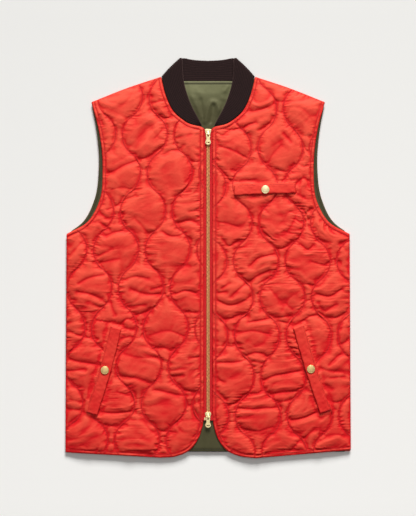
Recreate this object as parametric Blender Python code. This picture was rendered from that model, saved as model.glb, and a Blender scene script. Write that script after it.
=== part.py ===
"""A quilted puffer vest, zipped up and lying flat on its back.

X runs towards the wearer's left, Y towards the collar and Z up from the surface under the vest.
The origin is on that surface, in the middle of the vest's box. Every size is in millimetres and
turns into metres where a mesh is made. Right and left are the wearer's. The right half, at -X, is
drawn, and the left half is its mirror image.
"""

import math

import bmesh
import bpy
import numpy as np

MM = 0.001
GAP = 0.3  # left between pieces that meet

# ---- Outline, right half ----
HALF_WIDTH = 263.6  # at the hem, which makes the vest 527 across
CHEST_HALF = 261.5
TOP_Y = 369.0  # the collar's upper corners
NECK_POINT = (-86.5, 335.6)  # where shoulder, neckline and collar meet
SHOULDER_TIP = (-215.9, 288.4)
SHOULDER_BOW = 2.0  # how far the shoulder rounds above a straight line
UNDERARM_Y = 45.0
FRONT_ARMHOLE = [(-222.7, 67.3), (-201.0, 105.0), (-194.8, 165.0), (-203.7, 245.0)]
BACK_ARMHOLE = [(-231.4, 67.3), (-210.0, 109.0), (-201.8, 170.0), (-207.4, 245.0)]
FRONT_NECK = [(-77.9, 300.4), (-63.1, 270.8), (-46.4, 256.0)]  # between the neck point and the zip
NECK_END = (-13.1, 243.0)
FRONT_TOP_Y = 240.0  # upper end of the front edge
FRONT_EDGE_X = -7.6  # the finished edge beside the zip
CORNER_TOP_Y = -275.0  # where the front edge starts to round into the hem
ROUND_CORNER = [(-7.9, -288.0), (-10.4, -310.0), (-17.8, -332.3)]
CORNER_MIDDLE = (-34.4, -354.5)
ROUND_HEM = [(-59.4, -365.6)]
HEM_START_X = -88.0  # where the rounded corner becomes the straight hem
BACK_HEM_Y = -357.2
BACK_NECK = [(-83.5, 329.6), (-68.0, 327.0), (-42.0, 325.8)]  # between the neck point and the middle
BACK_NECK_Y = 325.2
FRONTS = {  # the two hems hang a little unevenly
    "right": {"turn": 1, "hem_side_y": -358.2, "hem_low_y": -368.0},
    "left": {"turn": -1, "hem_side_y": -353.8, "hem_low_y": -369.0},
}

# ---- Levels above the surface ----
BACK_THICK = 5.0
LINING_THICK = 1.0
LINING_Z = BACK_THICK + GAP
FRONT_Z = LINING_Z + LINING_THICK + GAP
SIDE_SEAM_Z = BACK_THICK + GAP  # a front comes down to the back along its side and shoulder seams
FRONT_THICK = 7.0
RIM_THICK = 4.5  # at the topstitched edges
SEAM_THICK = 3.2
LINING_INSET = 8.0  # from the side and shoulder seams
LINING_NECK_START = (-84.0, 326.8)
PLATE_THICK = 1.0  # each of a slider's two plates
TEETH_Z = FRONT_Z + PLATE_THICK + GAP
TEETH_THICK = 2.6
TAPE_THICK = 0.8
TAPE_Z = TEETH_Z + (TEETH_THICK - TAPE_THICK) / 2
TOP_PLATE_Z = TEETH_Z + TEETH_THICK + GAP
FLY_Z = TAPE_Z + TAPE_THICK + GAP  # underside of a front where it covers the tape

# ---- Zip ----
TEETH_HALF = 2.75  # half of the closed chain's width
TAPE_UNDERLAP = 9.0  # how far a tape runs under the front
FLY_SPAN = (12.0, 26.0)  # distance from the front edge over which its underside comes down off the tape
PIVOT_TOP_Y = 228.7
PIVOT_BOTTOM_Y = -292.9
TAPE_TOP_Y = 238.6
TAPE_BOTTOM_Y = -299.0
SLIDER_AHEAD = 9.8  # from the pivot to the slider's wide end
SLIDER_BEHIND = 4.6
SLIDER_WIDE, SLIDER_NARROW = 6.3, 4.1  # half-widths of its two ends
SLIDER_CORNER = 2.6
LIP_THICK = 1.0
JOIN = 0.3  # how far shapes reach into each other where they are joined
POST_HALF = 1.1  # the wedge between a slider's plates, which parts the two rows
POSTS = {"top": (3.9, 9.3), "bottom": (-4.2, -1.5)}  # its two ends, from the pivot
TEETH_ENDS = (PIVOT_BOTTOM_Y - 1.2, PIVOT_TOP_Y + 3.3)
RING_IN, RING_OUT, RING_WIDE = 1.25, 2.45, 2.2  # the arch that holds the pull tab
PIVOT_RISE = 1.15  # the pivot above the top plate
BAR_RADIUS = 0.8  # the tab's bar, which turns in the arch
TAB_THICK = 1.4
TAB_LENGTH = 19.6  # from the pivot to the tip
TAB_HALF = 3.8
TAB_SIDE = [(TAB_HALF, 0.0), (TAB_HALF, -4.2), (3.3, -6.5), (3.3, -9.5)]  # from the pivot to the round end
TAB_END_RADIUS = 5.2
TAB_SLOT = (2.9, 1.9)  # half its width, and its depth
PIN_SIZE = (2.4, 4.8, 2.0)
PIN_X = -5.9
PIN_Y = -298.2

# ---- Collar ----
COLLAR_THICK = 3.5
COLLAR_TOP_CORNER = (-50.5, TOP_Y)
COLLAR_SAG = 3.6  # how far the upper edge dips at the back of the neck
COLLAR_FRONT_EDGE = [(-44.6, 326.3), (-33.5, 289.3)]  # its free edge, between the top corner and the zip
COLLAR_TIP = (-11.6, 246.4)
COLLAR_GAP = 0.4  # from the front's neckline
COLLAR_CLEAR = 1.8  # from the fold's lower end to the shoulder seams
COLLAR_FRONT_Z = FRONT_Z + GAP + COLLAR_THICK / 2
COLLAR_BACK_Z = COLLAR_THICK / 2
COLLAR_SEAM_Z = 3.0  # its middle level where it is sewn to the back

# ---- Pockets ----
WELT_THICK = 2.5
WELTS = {  # middle line from end to end, and width
    "pocket_welt_right": {"line": [(-169.8, -126.7), (-188.4, -202.0), (-214.4, -286.8)], "width": 20.5},
    "pocket_welt_left": {"line": [(166.4, -125.0), (189.6, -203.5), (216.3, -283.0)], "width": 20.5},
    "pocket_welt_chest": {"line": [(47.4, 125.4), (104.0, 128.4), (161.5, 129.7)], "width": 18.4},
}
SNAPS = {"snap_right": (-190.2, -205.9), "snap_left": (189.4, -203.9), "snap_chest": (105.5, 126.9)}
SNAP_RADIUS = 7.6
SNAP_PROFILE = [(1.0, 0.0), (1.0, 0.9), (0.86, 1.5), (0.5, 2.2)]  # radius as a share, and height

# ---- How finely the shapes are divided ----
FRONT_COLUMNS = np.array([0, 0.024, 0.07, 0.16, 0.3, 0.46, 0.62, 0.76, 0.87, 0.93, 0.967, 1])
ROWS = np.concatenate([
    np.linspace(0, 0.07, 5)[:-1],
    np.linspace(0.07, 0.56, 9)[:-1],
    np.linspace(0.56, 0.97, 17),
    [0.991, 1.0],
])
ROUND_STEPS = 24


# ---- Paths ----
def spline(points, samples=24):
    """A dense smooth path of cubic pieces, with each point's slope taken over its two neighbours."""
    points = np.array(points, float)
    at = path_run(points)
    slopes = np.gradient(points, at, axis=0)
    u = np.linspace(0, 1, samples, endpoint=False)[:, None]
    pieces = []
    for i, reach in enumerate(np.diff(at)):
        start = (1 + 2 * u) * (1 - u) ** 2 * points[i] + u * (1 - u) ** 2 * reach * slopes[i]
        end = u**2 * (3 - 2 * u) * points[i + 1] + u**2 * (u - 1) * reach * slopes[i + 1]
        pieces.append(start + end)
    return np.vstack([*pieces, points[-1:]])


def path_run(path):
    """The length along the path up to each of its points."""
    return np.concatenate([[0], np.cumsum(np.linalg.norm(np.diff(path, axis=0), axis=1))])


def path_length(path):
    return path_run(path)[-1]


def along(path, shares):
    """The points at these shares of the path's length."""
    path = np.asarray(path, float)
    run = path_run(path)
    wanted = np.asarray(shares) * run[-1]
    return np.column_stack([np.interp(wanted, run, axis) for axis in path.T])


def patch(bottom, top, left, right, columns, rows):
    """A grid of points that fills the space between four edges that meet at their ends."""
    bottom, top = along(bottom, columns), along(top, columns)
    left, right = along(left, rows), along(right, rows)
    s, t = columns[None, :, None], rows[:, None, None]
    edges = (1 - t) * bottom[None] + t * top[None] + (1 - s) * left[:, None] + s * right[:, None]
    lower = (1 - s) * bottom[0] + s * bottom[-1]
    upper = (1 - s) * top[0] + s * top[-1]
    return edges - (1 - t) * lower - t * upper


def shoulder():
    middle = (np.array(SHOULDER_TIP) + NECK_POINT) / 2 + (0, SHOULDER_BOW)
    return spline([SHOULDER_TIP, middle, NECK_POINT])


def side_and_armhole(hem_y, armhole):
    """The path up the side seam from the hem, then round the armhole to the shoulder."""
    underarm = (-CHEST_HALF, UNDERARM_Y)
    return np.vstack([[(-HALF_WIDTH, hem_y)], spline([underarm, *armhole, SHOULDER_TIP])])


# ---- Building ----
def finish(name, colour, roughness, metallic=0.0):
    material = bpy.data.materials.new(name)
    material.use_nodes = True
    shader = material.node_tree.nodes["Principled BSDF"]
    shader.inputs["Base Color"].default_value = (*colour, 1)
    shader.inputs["Roughness"].default_value = roughness
    shader.inputs["Metallic"].default_value = metallic
    return material


def add_object(name, vertices, faces, material, at=(0, 0, 0)):
    """A closed mesh as an object whose origin is at this point, under the vest's empty."""
    mesh = bpy.data.meshes.new(name)
    vertices = (np.asarray(vertices, float) - at) * MM
    mesh.from_pydata(vertices.tolist(), [], faces)
    whole = bmesh.new()
    whole.from_mesh(mesh)
    bmesh.ops.recalc_face_normals(whole, faces=whole.faces)
    whole.to_mesh(mesh)
    whole.free()
    mesh.materials.append(material)
    made = bpy.data.objects.new(name, mesh)
    made.location = np.asarray(at, float) * MM
    made.parent = bpy.data.objects["vest"]
    bpy.context.scene.collection.objects.link(made)
    return made


def shell(name, inner, outer, material):
    """A closed wall between two grids of points, each rows by columns."""
    rows, columns = inner.shape[:2]
    index = np.arange(rows * columns).reshape(rows, columns)
    quads = np.stack([index[:-1, :-1], index[:-1, 1:], index[1:, 1:], index[1:, :-1]], -1).reshape(-1, 4)
    loop = np.concatenate([index[0], index[1:, -1], index[-1, -2::-1], index[-2:0:-1, 0]])
    after = np.roll(loop, -1)
    rim = np.stack([loop, after, after + index.size, loop + index.size], -1)
    faces = np.vstack([quads[:, ::-1], quads + index.size, rim])
    return add_object(name, np.vstack([inner.reshape(-1, 3), outer.reshape(-1, 3)]), faces.tolist(), material)


def slab(name, plan, under, thickness, material):
    """A wall that stands on the height field under, over a grid of plan points."""
    under = np.broadcast_to(under, plan.shape[:2])
    return shell(name, np.dstack([plan, under]), np.dstack([plan, under + thickness]), material)


def prism(name, outline, low, high, material, at=(0, 0, 0)):
    """An outline in X and Y, raised from one level to another."""
    count = len(outline)
    vertices = [(*p, low) for p in outline] + [(*p, high) for p in outline]
    sides = [(i, (i + 1) % count, (i + 1) % count + count, i + count) for i in range(count)]
    caps = [tuple(range(count))[::-1], tuple(range(count, 2 * count))]
    return add_object(name, vertices, [*sides, *caps], material, at)


def box(name, low, high, material, at=(0, 0, 0)):
    outline = [(low[0], low[1]), (high[0], low[1]), (high[0], high[1]), (low[0], high[1])]
    return prism(name, outline, low[2], high[2], material, at)


def combine(target, helpers, operation):
    """Joins hidden helper objects to the target, or cuts them from it."""
    for helper in helpers:
        helper.hide_render = True
        helper.display_type = "WIRE"
        modifier = target.modifiers.new(helper.name, "BOOLEAN")
        modifier.operation = operation
        modifier.object = helper


# ---- Cloth ----
def make_back(material):
    left = side_and_armhole(BACK_HEM_Y, BACK_ARMHOLE)
    top = np.vstack([shoulder(), back_neck(NECK_POINT, *BACK_NECK)[1:]])
    neck_share = path_length(shoulder()) / path_length(top)
    columns = np.array([0, neck_share / 2, neck_share, *np.linspace(neck_share, 1, 5)[1:]])
    return slab("back_panel", mirrored_grid(left, top, columns), 0, BACK_THICK, material)


def back_neck(*points):
    """The neckline at the back, from its right end to the middle."""
    end = BACK_NECK[-1]
    path = spline([*points, (0, BACK_NECK_Y), (-end[0], end[1])])
    return path[path[:, 0] <= 0]


def mirrored_grid(left, top, columns):
    """A grid over the whole back, from the right half's left and top edges."""
    bottom = [left[0], (0, BACK_HEM_Y)]
    right = [(0, BACK_HEM_Y), top[-1]]
    half = patch(bottom, top, left, right, columns, ROWS)
    half[:, -1, 0] = 0
    return np.hstack([half, half[:, -2::-1] * (-1, 1)])


def make_lining(material):
    """Flush with the back at the neck, armholes and hem, and inset from the side and shoulder seams."""
    left = side_and_armhole(BACK_HEM_Y, BACK_ARMHOLE)
    left[:, 0] = np.maximum(left[:, 0], -CHEST_HALF + LINING_INSET)
    left = left[np.linalg.norm(left - SHOULDER_TIP, axis=1) > LINING_INSET]
    neck = back_neck(LINING_NECK_START, *BACK_NECK[1:])
    top = np.vstack([left[-1:], neck])
    neck_share = 1 - path_length(neck) / path_length(top)
    columns = np.array([0, neck_share / 2, neck_share, *np.linspace(neck_share, 1, 5)[1:]])
    return slab("back_lining", mirrored_grid(left, top, columns), LINING_Z, LINING_THICK, material)


def front_edges(side):
    """The four edges of a right front: hem, shoulder, side with armhole, and front edge with neckline."""
    hem_side = (-HALF_WIDTH, side["hem_side_y"])
    hem_start = (HEM_START_X, side["hem_low_y"])
    corner = spline([hem_start, *ROUND_HEM, CORNER_MIDDLE, *ROUND_CORNER, (FRONT_EDGE_X, CORNER_TOP_Y)])
    half = int(np.argmin(np.linalg.norm(corner - CORNER_MIDDLE, axis=1)))
    hem = np.vstack([[hem_side], corner[: half + 1]])
    neck = spline([NECK_END, *FRONT_NECK[::-1], NECK_POINT])
    centre = np.vstack([corner[half:], [(FRONT_EDGE_X, FRONT_TOP_Y)], neck])
    return hem, shoulder(), side_and_armhole(side["hem_side_y"], FRONT_ARMHOLE), centre


def smooth_step(value, low, high):
    share = np.clip((value - low) / (high - low), 0, 1)
    return share * share * (3 - 2 * share)


def make_front(name, side, material):
    """A quilted front, lower at its side and shoulder seams, which climbs over the zip tape."""
    plan = patch(*front_edges(side), FRONT_COLUMNS, ROWS)
    from_edge = FRONT_EDGE_X - plan[:, :, 0]
    under = FLY_Z - (FLY_Z - FRONT_Z) * smooth_step(from_edge, *FLY_SPAN)
    thickness = np.full(plan.shape[:2], FRONT_THICK)
    for edge in (np.s_[0], np.s_[:, 0], np.s_[:, -1]):
        thickness[edge] = RIM_THICK
    seams = np.zeros(plan.shape[:2], bool)
    seams[-1] = True
    seams[plan[:, 0, 1] <= UNDERARM_Y, 0] = True
    under[seams], thickness[seams] = SIDE_SEAM_Z, SEAM_THICK
    return slab(name, plan * (side["turn"], 1), under, thickness, material)


def collar_half():
    """Stations of the collar's middle surface from the right tip to the back of the neck, four spans high."""
    heights = np.linspace(0, 1, 5)
    outward = np.array([NECK_POINT[1] - COLLAR_TOP_CORNER[1], COLLAR_TOP_CORNER[0] - NECK_POINT[0]])
    outward = outward / np.linalg.norm(outward)
    turn = (COLLAR_FRONT_Z - COLLAR_BACK_Z) / 2
    inset = outward * (turn + COLLAR_THICK / 2)
    clear = COLLAR_CLEAR * np.array([outward[1], -outward[0]])
    fold_seam, fold_top = NECK_POINT - inset + clear, COLLAR_TOP_CORNER - inset
    neckline = along(front_edges(FRONTS["right"])[3], ROWS)
    neckline = neckline[neckline[:, 1] > NECK_END[1] + 1]
    neckline = np.vstack([[NECK_END], neckline])
    seam = np.vstack([(neckline + offset_normals(neckline, COLLAR_GAP))[:-1], [fold_seam]])
    free_path = spline([COLLAR_TIP, *COLLAR_FRONT_EDGE[::-1], fold_top])
    free = along(free_path, path_run(seam) / path_length(seam))
    stations = [ruled(a, b, heights, COLLAR_FRONT_Z) for a, b in zip(seam, free)]
    for angle in np.radians([60, 30, 0, -30, -60]):
        level = (COLLAR_FRONT_Z + COLLAR_BACK_Z) / 2 + turn * math.sin(angle)
        bulge = outward * turn * math.cos(angle)
        stations.append(ruled(fold_seam + bulge, fold_top + bulge, heights, level))
    back_seam = back_neck(fold_seam, *(np.array(BACK_NECK[1:]) + (0, 3 * GAP))) + (0, 2 * GAP)
    back_free = [fold_top, (0, TOP_Y - COLLAR_SAG)]
    across = np.linspace(0, 1, 7)
    for a, b in zip(along(back_seam, across), along(back_free, across)):
        band = ruled(a, b, heights, COLLAR_BACK_Z)
        band[0, 2] = COLLAR_SEAM_Z
        stations.append(band)
    stations[-1][:, 0] = 0
    return np.array(stations)


def ruled(seam, free, heights, level):
    """Points of one station, from the seam to the free edge, at one level."""
    flat = np.outer(1 - heights, seam) + np.outer(heights, free)
    return np.column_stack([flat, np.full(len(heights), level)])


def offset_normals(path, distance):
    """Steps to the right of the path's direction."""
    ahead = np.gradient(path, axis=0)
    ahead /= np.linalg.norm(ahead, axis=1)[:, None]
    return np.column_stack([ahead[:, 1], -ahead[:, 0]]) * distance


def make_collar(material):
    half = collar_half()
    middle = np.concatenate([half, half[-2::-1] * (-1, 1, 1)])
    normals = np.cross(np.gradient(middle, axis=0), np.gradient(middle, axis=1))
    normals /= np.linalg.norm(normals, axis=2)[:, :, None]
    step = normals * COLLAR_THICK / 2
    return shell("collar", middle - step, middle + step, material)


def make_welt(name, welt, material):
    """A folded strip along its middle line, lying on the front."""
    line = along(spline(welt["line"]), np.linspace(0, 1, 11))
    across = np.linspace(-0.5, 0.5, 3) * welt["width"]
    plan = np.stack([line + offset_normals(line, step) for step in across], axis=1)
    return slab(name, plan, FRONT_Z + FRONT_THICK + GAP, WELT_THICK, material)


# ---- Hard pieces ----
def make_snap(name, place, material):
    """A domed cap, as rings of vertices closed by a flat foot and a flat crown."""
    turns = np.arange(ROUND_STEPS) * math.tau / ROUND_STEPS
    foot = FRONT_Z + FRONT_THICK + WELT_THICK + 2 * GAP
    vertices = []
    for share, height in SNAP_PROFILE:
        ring = np.column_stack([np.cos(turns), np.sin(turns)]) * share * SNAP_RADIUS + place
        vertices.extend((*point, foot + height) for point in ring)
    faces = []
    for ring in range(len(SNAP_PROFILE) - 1):
        for i in range(ROUND_STEPS):
            low, following = ring * ROUND_STEPS + i, ring * ROUND_STEPS + (i + 1) % ROUND_STEPS
            faces.append((low, following, following + ROUND_STEPS, low + ROUND_STEPS))
    last = (len(SNAP_PROFILE) - 1) * ROUND_STEPS
    faces += [tuple(range(ROUND_STEPS))[::-1], tuple(range(last, last + ROUND_STEPS))]
    return add_object(name, vertices, faces, material)


def make_tape(name, turn, material):
    xs = np.array([FRONT_EDGE_X - TAPE_UNDERLAP, -TEETH_HALF - GAP]) * turn
    low = (min(xs), TAPE_BOTTOM_Y, TAPE_Z)
    return box(name, low, (max(xs), TAPE_TOP_Y, TAPE_Z + TAPE_THICK), material)


def make_teeth(name, turn, material):
    """One row of the closed chain, from inside one slider to inside the other."""
    xs = np.array([-TEETH_HALF, -GAP / 2]) * turn
    low = (min(xs), TEETH_ENDS[0], TEETH_Z)
    return box(name, low, (max(xs), TEETH_ENDS[1], TEETH_Z + TEETH_THICK), material)


def mirrored_outline(right, pivot_y):
    """A closed outline about a pivot, from its right half, bottom to top or top to bottom."""
    both = [*right, *[(-x, y) for x, y in right[::-1]]]
    return [(x, y + pivot_y) for x, y in both]


def slider_outline(pivot_y):
    """A wide end with rounded corners, which tapers to the narrow end."""
    centre = (SLIDER_WIDE - SLIDER_CORNER, SLIDER_AHEAD - SLIDER_CORNER)
    wide = [
        (centre[0] + SLIDER_CORNER * math.cos(a), centre[1] + SLIDER_CORNER * math.sin(a))
        for a in np.radians(np.linspace(0, 90, 5))
    ]
    return mirrored_outline([(SLIDER_NARROW, -SLIDER_BEHIND), (SLIDER_NARROW, -1.0), *wide], pivot_y)


def make_slider(name, pivot_y, post_span, material):
    """Two plates round the chain, joined by a wedge, with lips beside the rows and an arch on top."""
    at = (0, pivot_y, TOP_PLATE_Z + PLATE_THICK + PIVOT_RISE)
    outline = slider_outline(pivot_y)
    body = prism(name, outline, TOP_PLATE_Z, TOP_PLATE_Z + PLATE_THICK, material, at)
    low_plate = prism(f"{name}_plate", outline, FRONT_Z, FRONT_Z + PLATE_THICK, material, at)
    post = box(
        f"{name}_post",
        (-POST_HALF, pivot_y + post_span[0], FRONT_Z + JOIN),
        (POST_HALF, pivot_y + post_span[1], TOP_PLATE_Z + JOIN),
        material,
        at,
    )
    helpers = [post, low_plate]
    lip_in = TEETH_HALF + GAP
    levels = {
        "low": (FRONT_Z + PLATE_THICK - JOIN, TAPE_Z - GAP),
        "top": (TAPE_Z + TAPE_THICK + GAP, TOP_PLATE_Z + JOIN),
    }
    for level, (low, high) in levels.items():
        for turn in (-1, 1):
            xs = sorted((turn * lip_in, turn * (lip_in + LIP_THICK)))
            lip = box(
                f"{name}_lip_{level}_{turn}",
                (xs[0], pivot_y - SLIDER_BEHIND + JOIN, low),
                (xs[1], pivot_y + SLIDER_AHEAD / 3, high),
                material,
                at,
            )
            helpers.append(lip)
    helpers.append(make_arch(f"{name}_arch", at, material))
    combine(body, helpers, "UNION")


def make_arch(name, at, material):
    """A half ring over the pivot, with its feet in the top plate."""
    foot = -PIVOT_RISE - PLATE_THICK / 2
    arc = np.radians(np.linspace(0, 180, 9))
    outer = [(RING_OUT * math.cos(a), RING_OUT * math.sin(a)) for a in arc]
    inner = [(RING_IN * math.cos(a), RING_IN * math.sin(a)) for a in arc[::-1]]
    profile = [(RING_OUT, foot), *outer, (-RING_OUT, foot), (-RING_IN, foot), *inner, (RING_IN, foot)]
    return cross_section(name, profile, RING_WIDE / 2, at, material)


def make_pull(name, pivot_y, material):
    """A flat tab that hangs from the arch by a bar, with a slot in its round end."""
    at = (0, pivot_y, TOP_PLATE_Z + PLATE_THICK + PIVOT_RISE)
    low, high = at[2] - TAB_THICK / 2, at[2] + TAB_THICK / 2
    end_y = TAB_LENGTH - TAB_END_RADIUS
    tip = [
        (TAB_END_RADIUS * math.sin(a), -end_y - TAB_END_RADIUS * math.cos(a))
        for a in np.radians(np.linspace(120, 8, 8))
    ]
    tab = prism(name, mirrored_outline([*TAB_SIDE, *tip], pivot_y), low, high, material, at)
    eye_half = RING_WIDE / 2 + GAP
    eye = box(
        f"{name}_eye",
        (-eye_half, pivot_y - RING_OUT - 2 * GAP, low - 1),
        (eye_half, pivot_y + 1, high + 1),
        material,
        at,
    )
    slot_outline = [
        (TAB_SLOT[0] * math.cos(a), pivot_y - end_y - TAB_SLOT[1] * math.sin(a))
        for a in np.radians(np.linspace(0, 180, 7))
    ]
    slot = prism(f"{name}_slot", slot_outline, low - 1, high + 1, material, at)
    combine(tab, [eye, slot], "DIFFERENCE")
    combine(tab, [make_bar(f"{name}_bar", at, material)], "UNION")


def make_bar(name, at, material):
    """The round bar that joins the tab's two arms, along X through the pivot."""
    turns = np.radians(np.arange(0, 360, 30))
    ring = [(BAR_RADIUS * math.cos(a), BAR_RADIUS * math.sin(a)) for a in turns]
    return cross_section(name, ring, TAB_HALF, at, material)


def cross_section(name, profile, half, at, material):
    """A profile in Y and Z about a point, drawn out along X to half its width on both sides."""
    count = len(profile)
    vertices = [(x, y + at[1], z + at[2]) for x in (-half, half) for y, z in profile]
    sides = [(i, (i + 1) % count, (i + 1) % count + count, i + count) for i in range(count)]
    ends = [tuple(range(count)), tuple(range(count, 2 * count))]
    return add_object(name, vertices, [*sides, *ends], material, at)


def make_pin(material):
    """The metal end of the right row, on its tape beside the lower slider."""
    low = np.array([PIN_X - PIN_SIZE[0] / 2, PIN_Y, TAPE_Z + TAPE_THICK + GAP])
    return box("zip_end_pin", low, low + PIN_SIZE, material)


def main():
    for old in list(bpy.data.objects):
        bpy.data.objects.remove(old)
    vest = bpy.data.objects.new("vest", None)
    bpy.context.scene.collection.objects.link(vest)

    nylon = finish("red_nylon", (0.72, 0.05, 0.03), 0.45)
    olive = finish("olive_lining", (0.13, 0.15, 0.07), 0.4)
    rib = finish("brown_rib", (0.022, 0.011, 0.010), 0.9)
    tape = finish("red_tape", (0.5, 0.02, 0.02), 0.7)
    brass = finish("brass", (0.87, 0.66, 0.3), 0.25, 1.0)

    make_back(nylon)
    make_lining(olive)
    for side, values in FRONTS.items():
        make_front(f"front_{side}", values, nylon)
        make_tape(f"zip_tape_{side}", values["turn"], tape)
        make_teeth(f"zip_teeth_{side}", values["turn"], brass)
    make_collar(rib)
    for name, welt in WELTS.items():
        make_welt(name, welt, nylon)
    for name, place in SNAPS.items():
        make_snap(name, place, brass)
    for end, pivot_y in {"top": PIVOT_TOP_Y, "bottom": PIVOT_BOTTOM_Y}.items():
        make_slider(f"zip_slider_{end}", pivot_y, POSTS[end], brass)
        make_pull(f"zip_pull_{end}", pivot_y, brass)
    make_pin(brass)


main()
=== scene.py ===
"""The looks of a quilted puffer vest that lies flat on its back, zipped up.

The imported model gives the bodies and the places. Cloth that the model holds as plain slabs is made here
as quilted, puckered cloth: each panel is a grid whose points lie on its stitch lines, and a small cloth
simulation lets it buckle between them. Sizes are in millimetres until a mesh is made. X runs towards the
wearer's left, Y towards the collar and Z up from the surface. Right and left are the wearer's.
"""

import math

import bmesh
import bpy
import numpy as np
from mathutils.geometry import delaunay_2d_cdt
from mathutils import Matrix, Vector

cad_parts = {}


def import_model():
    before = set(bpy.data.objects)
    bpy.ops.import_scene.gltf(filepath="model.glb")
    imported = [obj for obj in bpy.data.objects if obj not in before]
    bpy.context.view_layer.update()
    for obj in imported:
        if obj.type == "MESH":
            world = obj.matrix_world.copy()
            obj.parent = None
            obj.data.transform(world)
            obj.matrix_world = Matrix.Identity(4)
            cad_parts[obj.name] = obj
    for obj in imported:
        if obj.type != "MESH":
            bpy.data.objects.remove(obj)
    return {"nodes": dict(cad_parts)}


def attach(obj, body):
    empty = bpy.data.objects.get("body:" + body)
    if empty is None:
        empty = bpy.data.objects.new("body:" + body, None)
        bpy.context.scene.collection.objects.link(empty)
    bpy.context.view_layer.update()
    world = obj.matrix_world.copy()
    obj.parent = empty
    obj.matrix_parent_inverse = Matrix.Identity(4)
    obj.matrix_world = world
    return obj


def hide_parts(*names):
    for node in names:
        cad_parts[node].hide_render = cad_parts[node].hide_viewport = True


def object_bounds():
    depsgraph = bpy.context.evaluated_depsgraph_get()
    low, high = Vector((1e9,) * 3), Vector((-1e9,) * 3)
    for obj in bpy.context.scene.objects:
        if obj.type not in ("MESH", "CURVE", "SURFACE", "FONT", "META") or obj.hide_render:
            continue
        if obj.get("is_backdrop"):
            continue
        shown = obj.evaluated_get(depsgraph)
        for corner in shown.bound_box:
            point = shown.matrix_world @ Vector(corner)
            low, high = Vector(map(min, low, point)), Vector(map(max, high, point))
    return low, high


MM = 0.001

# ---- Outline, right half ----
HALF_WIDTH = 263.6
CHEST_HALF = 261.5
TOP_Y = 369.0
NECK_POINT = (-86.5, 335.6)
SHOULDER_TIP = (-215.9, 288.4)
SHOULDER_BOW = 2.0
UNDERARM_Y = 45.0
FRONT_ARMHOLE = [(-222.7, 67.3), (-201.0, 105.0), (-194.8, 165.0), (-203.7, 245.0)]
BACK_ARMHOLE = [(-231.4, 67.3), (-210.0, 109.0), (-201.8, 170.0), (-207.4, 245.0)]
FRONT_NECK = [(-77.9, 300.4), (-63.1, 270.8), (-46.4, 256.0), (-33.0, 248.0)]
NECK_END = (-13.1, 243.0)
FRONT_TOP_Y = 240.0
FRONT_EDGE_X = -7.6
CORNER_TOP_Y = -275.0
ROUND_CORNER = [(-59.4, -365.6), (-34.4, -354.5), (-17.8, -332.3), (-10.4, -310.0), (-7.9, -288.0)]
HEM_START_X = -88.0
BACK_HEM_Y = -357.2
BACK_NECK = [(-83.5, 329.6), (-68.0, 327.0), (-42.0, 325.8)]
BACK_NECK_Y = 325.2

# ---- Quilting: wavy lines up and down, every second one mirrored, so that they leave onion shapes ----
LINE_SPACING = 47.7
WAVE_REACH = 17.6  # how far a line swings to each side
WAVE_RADIUS = 43.9
ROW_STEP = 70.3  # from one row of onions to the next
SIDES = {  # rows: the heights of the onions' middles; onion_x: the middle of one onion of the first row
    "right": {
        "name": "right", "turn": 1, "hem_side_y": -358.2, "hem_low_y": -368.0, "seed": 3,
        "rows": [297.1, 228.3, 158.9, 86.6, 15.5, -54.8, -129.9, -199.1, -269.4, -336.0],
        "onion_x": -67.3, "lean": 0.0255,
    },
    "left": {
        "name": "left", "turn": -1, "hem_side_y": -353.8, "hem_low_y": -369.0, "seed": 8,
        "rows": [276.4, 202.4, 133.9, 65.7, -5.9, -72.0, -141.7, -219.4, -291.6, -358.2],
        "onion_x": 84.9, "lean": -0.0125,
    },
}

# ---- Levels above the surface ----
BACK_THICK = 5.0
UNDER_Z = 6.8  # a front's underside
FLY_UNDER_Z = 9.9  # the same where it covers the zip tape
SIDE_UNDER_Z = 5.4  # the same at the side and shoulder seams
SEAM_Z = 9.2  # a front's stitch lines
SIDE_DROP = 2.5
SIDE_REACH = 26.0
FLY_RISE = 1.6
FLY_SPAN = (9.0, 28.0)
EDGE_DROP = 0.9  # from a rim's stitch line to its edge
RIM = 5.5  # from an edge to its topstitching
ZIP_RIM = 6.4
RIMS = {"armhole": RIM, "neck": RIM, "hem": RIM, "zip": ZIP_RIM}
RIM_REACH = 30.0  # how far from an edge its distance is worked out
ROLL = 1.0  # how high a rim stands between its edge and its topstitching
ROLL_PUCKER = 0.4  # how unevenly, as a share
ROLL_PINCH = (0.65, 2.0)  # how much of it a quilting line takes away, and how far to its sides

# ---- Filling ----
PUFF = 4.4  # how far the filling would lift the cloth, far from any seam
PUFF_REACH = 25.0  # from a seam to where a puff is highest
CELL = 1.4  # of the finest grid

SWAY = 0.35  # how far the stitch lines rise and fall
EDGE_REACH = 40.0
OUTLINE_STEP = 3.0
TUCK = ((0.5, 0.55), (1.5, 1.0))  # how far in and how far down the rings under a panel's edge lie
UNDER_CELL = 12.0
LEAST_THICK = 0.5
LEAST_CREASED = 0.25  # the share of the fine creases in the middle of a puff
CREASED_REACH = 11.0  # from a seam to where they fade
SEAM_SHADE = 0.8  # how far from a seam its painted shade reaches
EDGE_CLEAR = 3.0  # how far from a panel's edge that painted shade begins
BACK_CELL = 2.05
BACK_GROOVE = 1.3  # the back's stitch lines above the surface
BACK_SQUASH = 1.0
BACK_EDGE_Z = 2.6
BACK_INSET = 0.9  # behind the lining's edge
LINING_CELL = 2.15
LINING_UNDER_Z = 5.15
LINING_Z = 6.1
LINING_ROLL = 0.9
LINING_TOP_Z = 6.6  # the highest level that it may reach under the fronts and the collar
LINING_FREE = 4.2  # how much higher its folds may rise between the collar's ends
LINING_INSET = 8.0
LINING_STITCH = 4.2
LINING_GROOVE = 0.6
LINING_DARK = 1.0  # how far to each side of its stitches its painted shade is darkest
LINING_SWELL = 1.4
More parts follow.
